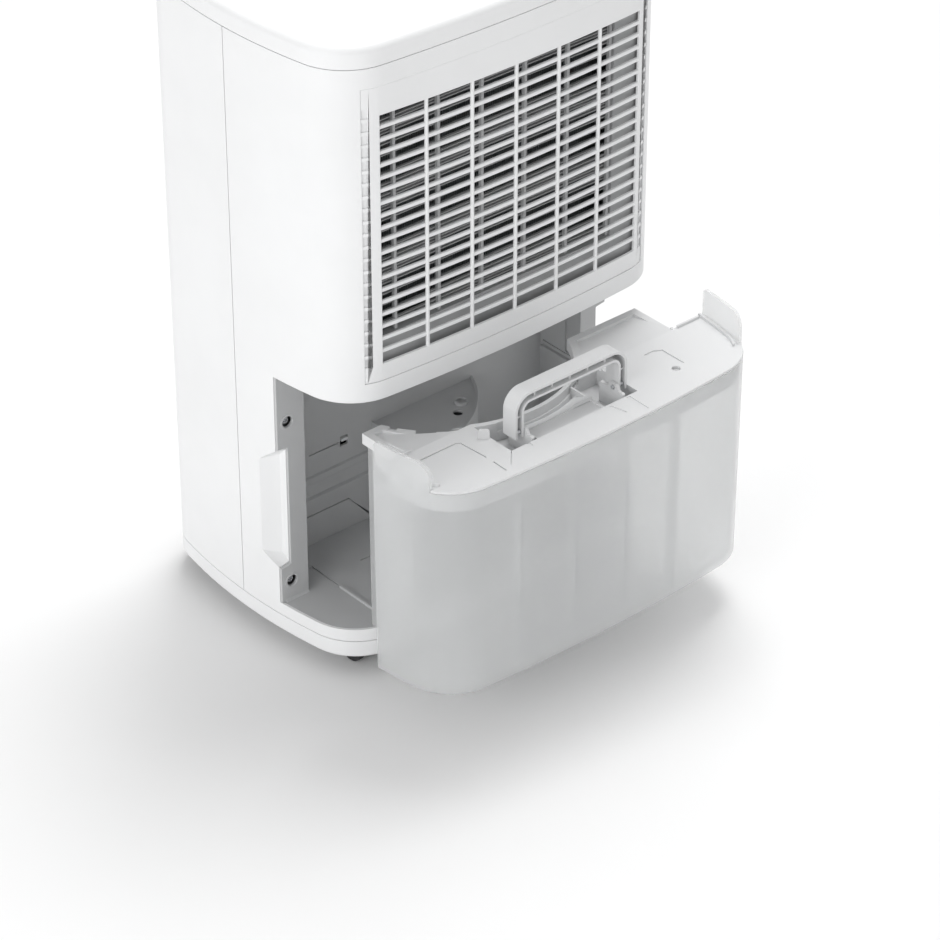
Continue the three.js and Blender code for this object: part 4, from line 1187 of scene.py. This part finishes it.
# ---- water tank ---------------------------------------------------------------------------------
@dataclass(frozen=True)
class TankPlan:
    """The tank's plan: the body's own front, a narrower rear and a round notch for the bay's bulge."""

    shoulder: float = -49.0
    rear_half: float = 154.0
    rear_y: float = 2.5
    notch: Point2 = (-30.0, 52.0)
    notch_r: float = 119.0
    notch_steps: int = 48

    def outline(self, inset: float = 0.0) -> list[Point2]:
        """Return the plan anticlockwise, inset evenly, always with the same number of points."""
        ring, plain = PLAN.outline(inset + 0.3), PLAN.outline(0.3)
        line = self.shoulder - inset
        right = [ring[i] for i in range(len(plain) // 2) if plain[i][1] < self.shoulder - 4]
        last = ring[len(right)]
        share = (line - right[-1][1]) / (last[1] - right[-1][1])
        corner = (right[-1][0] + (last[0] - right[-1][0]) * share, line)
        half, rear, radius = self.rear_half - inset, self.rear_y - inset, self.notch_r + inset
        cx, cy = self.notch
        reach = math.sqrt(radius ** 2 - (cy - rear) ** 2)
        start = math.atan2(rear - cy, reach)
        stop = -math.pi - start
        arc = [(cx + radius * math.cos(start + (stop - start) * i / self.notch_steps),
                cy + radius * math.sin(start + (stop - start) * i / self.notch_steps))
               for i in range(self.notch_steps + 1)]
        left = [(-x, y) for x, y in right[1:]][::-1]
        return [*right, corner, (half, line), (half, rear), *arc, (-half, rear), (-half, line),
                (-corner[0], line), *left]

    def solid(self, low: float, high: float, inset: float = 0.0, low_round: float = 0.0,
              draft: float = 0.0) -> bpy.types.Object:
        """Raise the plan between two heights, rounded under and drafted towards its foot."""
        steps = 6
        levels = [(inset + draft, low)]
        if low_round > 0:
            levels = [(inset + draft + low_round * (1 - math.sin(a)), low + low_round * (1 - math.cos(a)))
                      for a in (math.pi / 2 * i / steps for i in range(steps + 1))]
        levels.append((inset, high))
        return Stock.loft([[(x, y, z) for x, y in self.outline(level)] for level, z in levels])


TANK_PLAN = TankPlan()


@dataclass
class Tank:
    """The translucent tank with its two ears and the ribs inside it."""

    bottom: float = 50.2
    rim: float = 255.4
    rear_rim: float = 246.0
    wall: float = 2.6
    ear_y: Span = (-107.5, -49.5)
    ear_top: float = 283.0

    def build(self) -> None:
        """Build the shell."""
        shell = fitted(TANK_PLAN.solid(self.bottom, self.rim, low_round=2.4, draft=0.8),
                       cut=[TANK_PLAN.solid(self.bottom + 3, self.rim + 1, inset=self.wall, low_round=2.0,
                                            draft=0.8)])
        lowered = Stock.box((-FAR, FAR), (TANK_PLAN.shoulder + 3, FAR), (self.rear_rim, FAR))
        ribs = []
        for x in (-99.0, -38.0, 19.0, 80.0):
            face = PLAN.face_y(x) + 1.5
            ribs.append(Stock.box((x - 1.1, x + 1.1), (face, face + 13), (self.bottom + 2, self.rim - 24)))
        ribs.append(Stock.box((30, 32.2), (-102.0, -51.0), (self.bottom + 2, 150)))
        shell = fitted(shell, add=ribs)
        front, rear = self.ear_y
        base = self.rim - 12
        profile = rounded([(rear, base), (rear, self.ear_top), (front, self.ear_top), (front, base)],
                          [0, 4, 14, 0], 10)
        ears = fitted(PLAN.solid(200, 300, inset=0.3), cut=[PLAN.solid(190, 310, inset=3.4)],
                      keep=[Stock.beam(profile, -FAR, FAR)])
        rail_groove = Stock.box((-138.4, -132.6), (-109.0, FAR), (self.bottom - 1, self.bottom + 2.3))
        shell = fitted(shell, cut=[lowered, rail_groove], add=[ears])
        settle(shell, "water_tank", TANK_SHIFT, Finish.FROSTED, "tank", ("tank_shell",), edge=0.5)


@dataclass
class Lid:
    """The grey lid on the tank: its rims, grooves, pockets and the handle's two brackets."""

    top: float = 258.0
    rear_top: float = 250.0
    slope_y: float = -67.5
    pockets: tuple[Span, Span] = ((-88.0, -57.0), (20.0, 56.0))
    pocket_y: Span = (-106.5, -54.5)
    pocket_floor: float = 240.0
    brackets: Point2 = (-63.9, 39.9)
    pivot: Point2 = (-92.5, 261.8)

    def groove(self, points: list[Point2], wide: float = 1.5, deep: float = 1.4) -> list[bpy.types.Object]:
        """Return cutters for a groove along a path on the lid's top."""
        cutters = []
        for (x0, y0), (x1, y1) in zip(points, points[1:]):
            along = Vector((x1 - x0, y1 - y0)).normalized() * (wide / 2)
            side = Vector((-along.y, along.x))
            a, b = Vector((x0, y0)) - along, Vector((x1, y1)) + along
            corners = [a - side, b - side, b + side, a + side]
            cutters.append(Stock.prism([(p.x, p.y) for p in corners], self.top - deep, self.top + 3))
        return cutters

    def deck(self) -> bpy.types.Object:
        """Return the lid's sloping deck with its front plate, its skirt and its raised rear rim."""
        thick, floor = 3.0, 245.6
        rear = TANK_PLAN.rear_y + 4
        profile = [(-FAR, self.top), (-FAR, self.top - thick), (self.slope_y, self.top - thick),
                   (rear, floor - thick), (rear, floor), (self.slope_y, self.top)]
        deck = fitted(Stock.beam(profile, -FAR, FAR), keep=[TANK_PLAN.solid(200, 300, inset=3.1)])
        plate = fitted(TANK_PLAN.solid(255.8, self.top, inset=0.6), cut=[behind(-53, 0, FAR)])
        skirt = fitted(TANK_PLAN.solid(240, 244.4, inset=3.1), cut=[TANK_PLAN.solid(230, 260, inset=5.1)])
        front_skirt = fitted(TANK_PLAN.solid(237, 257, inset=3.1), cut=[TANK_PLAN.solid(230, 260, inset=5.1)],
                             keep=[ahead_of(-60, 0, FAR)])
        return fitted(deck, add=[plate, skirt, front_skirt])

    def rim(self) -> bpy.types.Object:
        """Return the raised rim that hangs over the tank's rear wall, with its notches."""
        rear = Stock.box((-158, 158), (TANK_PLAN.shoulder + 1.5, FAR), (0, FAR))
        outer = fitted(TANK_PLAN.solid(239.5, self.rear_top, inset=-3.2), keep=[rear])
        seat = TANK_PLAN.solid(230, 246.4, inset=-0.4)
        inner = TANK_PLAN.solid(230, 260, inset=3.8)
        lip = fitted(TANK_PLAN.solid(239.6, 244.0, inset=3.1), cut=[TANK_PLAN.solid(230, 250, inset=5.6)],
                     keep=[behind(-54, 0, FAR)])
        rim = fitted(outer, cut=[seat, inner])
        cx, cy = TANK_PLAN.notch
        notches = []
        for start, stop, deep in ((207.5, 211.0, 2.0), (219.0, 227.5, 3.0), (239.5, 242.5, 1.6)):
            a, b = math.radians(start), math.radians(stop)
            corners = ((105, a), (105, b), (120.6, b), (120.6, a))
            wedge = [(cx + r * math.cos(t), cy + r * math.sin(t)) for r, t in corners]
            notches.append(Stock.prism(wedge[::-1], self.rear_top - deep, self.rear_top + 2))
        return fitted(rim, add=[lip], cut=notches)

    def arc_band(self, profile: list[Point2]) -> bpy.types.Object:
        """Sweep a profile of radius and height round the notch, behind the handle."""
        cx, cy = TANK_PLAN.notch
        rings = []
        steps = 40
        for i in range(steps + 1):
            angle = math.radians(252 + 62 * i / steps)
            rings.append([(cx + r * math.cos(angle), cy + r * math.sin(angle), z) for r, z in profile])
        return fitted(Stock.loft(rings), keep=[TANK_PLAN.solid(230, 270, inset=4.4)])

    def inner(self) -> bpy.types.Object:
        """Return the room inside the tank's wall, as a tool to trim with."""
        return TANK_PLAN.solid(0, FAR, inset=5.6)

    def build(self) -> None:
        """Build the lid."""
        ridges = [(122.2, 243.0), (122.2, 249.6), (125.2, 249.6), (126.4, 246.4), (129.4, 246.4), (130.4, 251.4),
                  (132.6, 251.4), (141.0, 255.4), (142.4, 258.0), (142.6, 258.0), (142.6, 243.0)]
        room = [(122.4, 243.6), (122.4, 270.0), (142.4, 270.0), (142.4, 243.6)]
        lid = fitted(fitted(self.deck(), cut=[self.arc_band(room)]), add=[self.rim(), self.arc_band(ridges)])
        y0, y1 = self.pocket_y
        tray = Stock.box((self.pockets[0][1] - 3, self.pockets[1][0] + 3), (y0, -88), (254.4, FAR))
        lid = fitted(lid, cut=[tray], add=[Stock.box((-60, 23), (y0 - 2, -87), (251.6, 254.4))])
        for x0, x1 in self.pockets:
            well = fitted(Stock.box((x0 - 2, x1 + 2), (y0 - 2, y1 + 2), (self.pocket_floor - 2, 256)),
                          keep=[self.inner()])
            room = fitted(Stock.box((x0, x1), (y0, y1), (self.pocket_floor, FAR)), keep=[self.inner()])
            lid = fitted(lid, add=[well], cut=[room])
        py, pz = self.pivot
        front, rear, high = -105.2, -75.5, 260.2
        gusset = rounded([(front, self.pocket_floor - 1), (front, high), (py - 7, high), (py - 4, pz + 4),
                          (py + 4, pz + 4), (py + 7, high), (rear, high), (rear, self.pocket_floor - 1)],
                         [0, 1.5, 2, 3, 3, 2, 1.5, 0])
        for x in self.brackets:
            lid = fitted(lid, add=[fitted(Stock.beam(gusset, x, x + 3), keep=[self.inner()])])
        tab = rounded([(-98, self.top - 1), (-98, self.top + 9), (-88, self.top + 9), (-88, self.top - 1)],
                      [0, 2.5, 2.5, 0])
        standing = Stock.plate(tab, -78, -75.8)
        standing.data.transform(Matrix.Translation((-93, -77, 0)) @ Matrix.Rotation(math.radians(-40), 4, "Z")
                                @ Matrix.Translation((93, 77, 0)))
        lid = fitted(lid, add=[standing])
        ear_gap = fitted(PLAN.solid(0, FAR, inset=-2), cut=[PLAN.solid(-1, FAR + 1, inset=4.4)],
                         keep=[Stock.box((-FAR, FAR), (-108, -47.5), (0, FAR))])
        for side in (-1, 1):
            low, high = sorted((side * 150, side * FAR))
            kerb = fitted(PLAN.solid(self.top - 1, self.top + 2.6, inset=7.4),
                          cut=[PLAN.solid(0, FAR, inset=9.4)],
                          keep=[Stock.box((low, high), (-108, -50.4), (0, FAR))])
            low, high = sorted((side * 153, side * 179))
            end = Stock.box((low, high), (-54.4, -52.4), (self.top - 1, self.top + 2.6))
            lid = fitted(lid, add=[kerb, end])
        cuts = [ear_gap, Stock.rod("x", 2.3, (-FAR, FAR), self.pivot),
                Stock.rod("x", 1.8, (92, 132), (-35, 243)), Stock.rod("z", 4, (254, 262), (105.8, -101.8))]
        cuts += self.groove([(-154, -67.6), (-116, -67.5), (-112.5, -70), (-110.3, -99.6)])
        cuts += self.groove([(-110.3, -109.7), (-110.7, -125.4)])
        cuts += self.groove([(-88.5, -107), (-101.6, -121.3)], 0.9)
        cuts += self.groove([(-69.5, -98), (-69.7, -110.5)], 3, 0.8)
        cuts += self.groove([(22, -111), (24.8, -124.3)], 3, 0.8)
        cuts += self.groove([(43.4, -110), (42.8, -131)], 4, 0.8)
        cuts += self.groove([(101, -68.5), (111, -68.5), (117, -72), (117, -98)], 2.4, 1.0)
        lid = fitted(lid, cut=cuts)
        lugs = [Stock.box((112 + s * 7 - 1, 112 + s * 7 + 1), (-39, -31), (240, 250)) for s in (-1, 1)]
        lid = fitted(lid, add=[fitted(lug, cut=[Stock.rod("x", 1.8, (92, 132), (-35, 243))]) for lug in lugs])
        settle(lid, "lid", TANK_SHIFT, Finish.LID, "tank", ("tank_lid",), edge=0.35)


@dataclass
class Handle:
    """The folding handle, a channel open to one side, and its two pins."""

    x: float = -10.5
    half: float = 63.5
    deep: float = 16.0
    bar: float = 9.5
    top: float = 298.5
    skin: float = 2.2
    pivot: Point2 = (-92.5, 261.8)
    set_back: float = 3.3
    foot: float = 257.2
    corner_r: float = 17.0
    pin_heads: Span = (-59.7, 38.7)

    def hoop(self, inset: float, low: float) -> list[Point2]:
        """Return the hoop's outline in X and Z, inset evenly."""
        x0, x1 = self.x - self.half + inset, self.x + self.half - inset
        top, round_r = self.top - inset, self.corner_r - inset
        return rounded([(x0, low), (x1, low), (x1, top), (x0, top)], [0, 0, round_r, round_r], 14)

    def build(self) -> None:
        """Build the channel, its ribs and the pins."""
        front = self.pivot[0] - self.set_back
        back = front + self.deep
        blind = self.half - 1.4
        low = self.foot
        outer = fitted(Stock.plate(self.hoop(0, low), front, back),
                       cut=[Stock.plate(self.hoop(self.bar, low - 1), front - 1, back + 1)])
        channel = fitted(Stock.plate(self.hoop(self.skin, low - 1), front - 1, back - self.skin),
                         cut=[Stock.plate(self.hoop(self.bar - self.skin, low - 2), front - 2, back + 1)])
        handle = fitted(outer, cut=[channel])
        middle, rib_deep, rib_tall = (front + back) / 2 + 0.6, self.deep - 4.0, self.bar - 2.0
        ribs = row_of_blocks("handle_ribs", Finish.LID, 5, (self.x - 40.0, middle, self.top - self.bar / 2),
                             (20.0, 0.0, 0.0), (1.4, rib_deep, rib_tall))
        studs = row_of_blocks("handle_studs", Finish.LID, 2,
                              (self.x - self.half + self.bar / 2, middle, self.pivot[1] + 14.8),
                              (2 * self.half - self.bar, 0.0, 0.0), (rib_tall, rib_deep, 1.6))
        pin_holes = Stock.rod("x", PIN_R + PIN_PLAY, (self.x - blind, self.x + blind), self.pivot)
        handle = fitted(handle, add=[ribs, studs], cut=[pin_holes])
        settle(handle, "handle", TANK_SHIFT, Finish.LID, "tank_handle", ("tank_handle",), edge=0.6,
               segments=3)
        left_end, right_end = self.x - blind + PIN_PLAY, self.x + blind - PIN_PLAY
        for name, x0, x1 in (("left", left_end, self.pin_heads[0]), ("right", self.pin_heads[1], right_end)):
            pin = Stock.pebble("x", PIN_R, (x0, x1), self.pivot, 0.6)
            settle(pin, f"pin_{name}", TANK_SHIFT, Finish.STEEL, "tank", (f"handle_pin_{name}",), edge=0)


@dataclass
class Float:
    """The float on its arm inside the tank."""

    x: float = 112.0
    y: float = -35.0
    z: float = 243.0

    def build(self) -> None:
        """Build the arm and the block."""
        y, z = self.y, self.z
        profile = [(y + 1, z - 1.4), (y + 1, z + 1.4), (y - 35, z - 13), (y - 61, z - 13), (y - 61, z - 15.4),
                   (y - 35, z - 15.4)]
        arm = fitted(Stock.beam(profile, self.x - 4, self.x + 4),
                     add=[Stock.rod("x", 1.4, (self.x - 9, self.x + 9), (y, z))])
        settle(arm, "float_lever", TANK_SHIFT, Finish.LID, "float", ("float_arm",), edge=0.3)
        block = Stock.box((self.x - 15, self.x + 15), (y - 61, y - 31), (z - 34, z - 15.8))
        settle(block, "float_foam", TANK_SHIFT, Finish.WHITE, "float", ("float_block",), edge=2.0, segments=4)


# ---- castors ------------------------------------------------------------------------------------
@dataclass
class Castor:
    """A twin-wheel castor with its hood."""

    number: int
    spot: Point2
    wheel_r: float = 14.0
    trail: float = 5.0

    def build(self) -> None:
        """Build the hood and the wheels."""
        x, y = self.spot
        axle = (y + self.trail, self.wheel_r)
        dome = [(13.6, 22), (15, 23), (15, 27.6), (13.4, 30.4), (4, 30.4), (4, 43), (3.4, 43.8)]
        hood = Stock.lathe("z", (x, y), dome)
        web = Stock.box((x - 2.4, x + 2.4), (y - 2, y + self.trail + 3.6), (self.wheel_r - 3.6, 24))
        arches = [Stock.rod("x", self.wheel_r + 0.8, (x + s * 8.5 - 5.5, x + s * 8.5 + 5.5), axle)
                  for s in (-1, 1)]
        hood = fitted(hood, add=[web], cut=[Stock.rod("x", 2.3, (x - 20, x + 20), axle), *arches])
        settle(hood, f"castor_{self.number}_hood", BODY_SHIFT, Finish.DARK, f"castor_swivel_{self.number}",
               (f"castor_hood_{self.number}",), edge=0.4)
        wheels = Stock.rod("x", 2.2, (x - 4, x + 4), axle)
        for s in (-1, 1):
            a, b = x + s * 3.4, x + s * 11
            r = self.wheel_r
            profile = [(4, a), (r - 1.2, a), (r, a + s * 1.2), (r, b - s * 1.2), (r - 1.2, b), (r - 4, b),
                       (r - 4.6, b - s * 1.2), (5, b - s * 1.2), (4.2, b), (1.5, b)]
            wheels = fitted(wheels, add=[Stock.lathe("x", axle, profile)])
        grooves = [ring_of_blocks("tread", Finish.TREAD, 36, (x + s * 7.2, *axle), self.wheel_r, (4.0, 0.9, 0.8))
                   for s in (-1, 1)]
        wheels = fitted(wheels, cut=grooves)
        settle(wheels, f"castor_{self.number}_wheels", BODY_SHIFT, Finish.TREAD, f"castor_wheels_{self.number}",
               (f"castor_wheels_{self.number}",), edge=0.15, segments=1)


# ---- top deck -----------------------------------------------------------------------------------
@dataclass
class Controls:
    """The control panel with its display and five buttons, and the outlet with its louvre."""

    housing: Housing
    names: tuple[str, ...] = ("power", "mode", "fan", "down", "up")
    radius: float = 8.0
    pitch: float = 32.0
    display: tuple[float, float, float] = (26.0, -38.0, -22.0)

    def button_spot(self, i: int) -> Point2:
        """Return a button's place."""
        return (-64 + i * self.pitch, self.housing.panel[1] + 16)

    def panel(self) -> None:
        """Build the panel plate and the display."""
        top, gap = self.housing.height, self.housing.gap
        x, y0, y1 = self.housing.panel
        corners = [(-x + gap, y0 + gap), (x - gap, y0 + gap), (x - gap, y1 - gap), (-x + gap, y1 - gap)]
        plate = Stock.prism(rounded(corners, [5.6] * 4), top - 3.6, top - 1)
        holes = [Stock.rod("z", self.radius + gap, (top - 5, top + 1), self.button_spot(i))
                 for i in range(len(self.names))]
        half, d0, d1 = self.display
        holes.append(Stock.box((-half - gap, half + gap), (d0 - gap, d1 + gap), (top - 5, top + 1)))
        settle(fitted(plate, cut=holes), "panel_plate", BODY_SHIFT, Finish.DARK, "housing",
               ("control_panel",), edge=0.3)
        glass = Stock.box((-half, half), (d0, d1), (top - 3.4, top - 1.2))
        settle(glass, "display_glass", BODY_SHIFT, Finish.WINDOW, "housing", ("display_window",), edge=0.25)

    def buttons(self) -> None:
        """Build the five dished buttons."""
        top = self.housing.height
        for i, name in enumerate(self.names):
            r = self.radius
            cap = [(r + 2, top - 6.4), (r + 2, top - 4.2), (r, top - 4.2), (r, top - 1.1), (r - 0.25, top - 0.6),
                   (r - 0.9, top - 0.4), (r - 2.4, top - 0.75), (r - 4.6, top - 1.1), (0.6, top - 1.25)]
            key = Stock.lathe("z", self.button_spot(i), cap)
            settle(key, f"{name}_key", BODY_SHIFT, Finish.WHITE, f"{name}_button", (f"{name}_button",),
                   edge=0.1, segments=1)

    def outlet(self) -> None:
        """Build the outlet's frame and fins, and the louvre over it."""
        top = self.housing.height
        x, y0, y1 = self.housing.outlet
        low, high = top - 34, top - 12
        ring = fitted(Stock.box((-x - 4, x + 4), (y0 - 4, y1 + 4), (low, high)),
                      cut=[Stock.box((-x, x), (y0, y1), (low - 1, high + 1))])
        fins = row_of_blocks("outlet_fins", Finish.WHITE, 11, (-100.0, (y0 + y1) / 2, (low + high) / 2 - 1.5),
                             (20.0, 0.0, 0.0), (2.0, y1 - y0 + 4, 13.0))
        settle(fitted(ring, add=[fins]), "outlet_frame", BODY_SHIFT, Finish.WHITE, "housing",
               ("outlet_grille",), edge=0.4)
        axis = (y0 + 6, top - 6)
        flap = rounded([(axis[0], top - 4.6), (y1 - 1, top - 4.6), (y1 - 1, top - 1.6), (axis[0], top - 1.6)],
                       [0, 1.2, 1.2, 0])
        louvre = fitted(Stock.beam(flap, -x + 1, x - 1),
                        add=[Stock.pebble("x", 3.0, (-x + 1, x - 1), axis, 0.5)])
        settle(louvre, "louvre_flap", BODY_SHIFT, Finish.WHITE, "outlet_louvre", ("outlet_louvre",), edge=0.3)

    def build(self) -> None:
        """Build all of it."""
        self.panel()
        self.buttons()
        self.outlet()


def dress_kept_nodes() -> None:
    """Give every node that is still shown its finish."""
    kept = {
        Finish.DARK: ("tank_switch", "drip_tray", "fan_shroud", "compressor_foot_1", "compressor_foot_2",
                      "compressor_foot_3", "compressor_foot_4", "power_inlet_gland", "louvre_motor"),
        Finish.WHITE: ("tank_switch_lever", "fan_wheel"),
        Finish.STEEL: ("fan_motor", "compressor_shelf"),
        Finish.PAINT: ("compressor",),
        Finish.COPPER: ("discharge_pipe", "suction_pipe"),
        Finish.FINS: ("run_capacitor",),
        Finish.BOARD: ("control_board",),
    }
    for finish, names in kept.items():
        for name in names:
            node = frame["nodes"][name]
            material = FINISHES.of(finish)
            for slot in node.material_slots:
                slot.material = material
            LOG.info("%s keeps its shape in %s", name, finish.value[0])


# ---- studio -------------------------------------------------------------------------------------
@dataclass
class Studio:
    """The floor, the light and the camera."""

    eye: Point3 = (-1.882886, -2.186547, 2.011347)
    target: Point3 = (0.070013, 0.06425, 0.054268)
    lens: float = 147.55
    sensor: float = 36.0
    floor_size: float = 16.0

    def floor(self) -> None:
        """Lay a plain pale floor."""
        half = self.floor_size / 2
        mesh = bpy.data.meshes.new("floor")
        mesh.from_pydata([(-half, -half, 0), (half, -half, 0), (half, half, 0), (-half, half, 0)], [],
                         [(0, 1, 2, 3)])
        floor = bpy.data.objects.new("floor", mesh)
        bpy.context.scene.collection.objects.link(floor)
        matte = Plastic("studio_floor", (0.9, 0.9, 0.9), 0.003, (0.8, 0.9), 40.0, 0.00001, 0.0)
        mesh.materials.append(matte.material())

    def area(self, name: str, power: float, size: float, place: Point3, aim: Point3) -> None:
        """Hang a soft square light."""
        light = bpy.data.lights.new(name, "AREA")
        light.energy, light.size = power, size
        lamp = bpy.data.objects.new(name, light)
        lamp.location = place
        lamp.rotation_euler = (Vector(aim) - Vector(place)).to_track_quat("-Z", "Y").to_euler()
        bpy.context.scene.collection.objects.link(lamp)

    def light(self) -> None:
        """Surround the object with soft white light, stronger from its left."""
        world = bpy.data.worlds.new("studio")
        world.use_nodes = True
        world.node_tree.nodes["Background"].inputs["Color"].default_value = (1.0, 1.0, 1.0, 1.0)
        world.node_tree.nodes["Background"].inputs["Strength"].default_value = 0.58
        bpy.context.scene.world = world
        self.area("key", 36.0, 2.0, (-3.0, -0.8, 1.2), (0.0, 0.0, 0.3))
        self.area("fill", 5.0, 2.4, (0.6, -3.2, 1.8), (0.0, 0.0, 0.2))
        self.area("top", 62.0, 1.5, (1.0, 0.6, 3.2), (0.0, 0.0, 0.2))

    def camera(self) -> None:
        """Stand the camera and make it the scene's."""
        data = bpy.data.cameras.new("camera")
        data.lens, data.sensor_width = self.lens, self.sensor
        data.clip_end = 40.0
        camera = bpy.data.objects.new("camera", data)
        camera.location = self.eye
        camera.rotation_euler = (Vector(self.target) - Vector(self.eye)).to_track_quat("-Z", "Y").to_euler()
        bpy.context.scene.collection.objects.link(camera)
        bpy.context.scene.camera = camera

    def build(self) -> None:
        """Set it all up."""
        bpy.context.scene.view_settings.view_transform = "Standard"
        self.floor()
        self.light()
        self.camera()


def main() -> None:
    """Build the studio and every sub-assembly in order."""
    logging.basicConfig(level=logging.INFO, format="%(name)s: %(message)s")
    Studio().build()
    housing = Housing()
    housing.build()
    TankBay(housing).build()
    Intake(housing).build()
    Coil("evaporator_coil", (-110.0, -84.0)).build()
    Coil("condenser_coil", (-78.0, -50.0)).build()
    Tank().build()
    Lid().build()
    Handle().build()
    Float().build()
    number = 0
    for sy in (-1, 1):
        for sx in (-1, 1):
            number += 1
            Castor(number, (sx * housing.castor[0], sy * housing.castor[1])).build()
    Controls(housing).build()
    dress_kept_nodes()


if __name__ == "__main__":
    main()
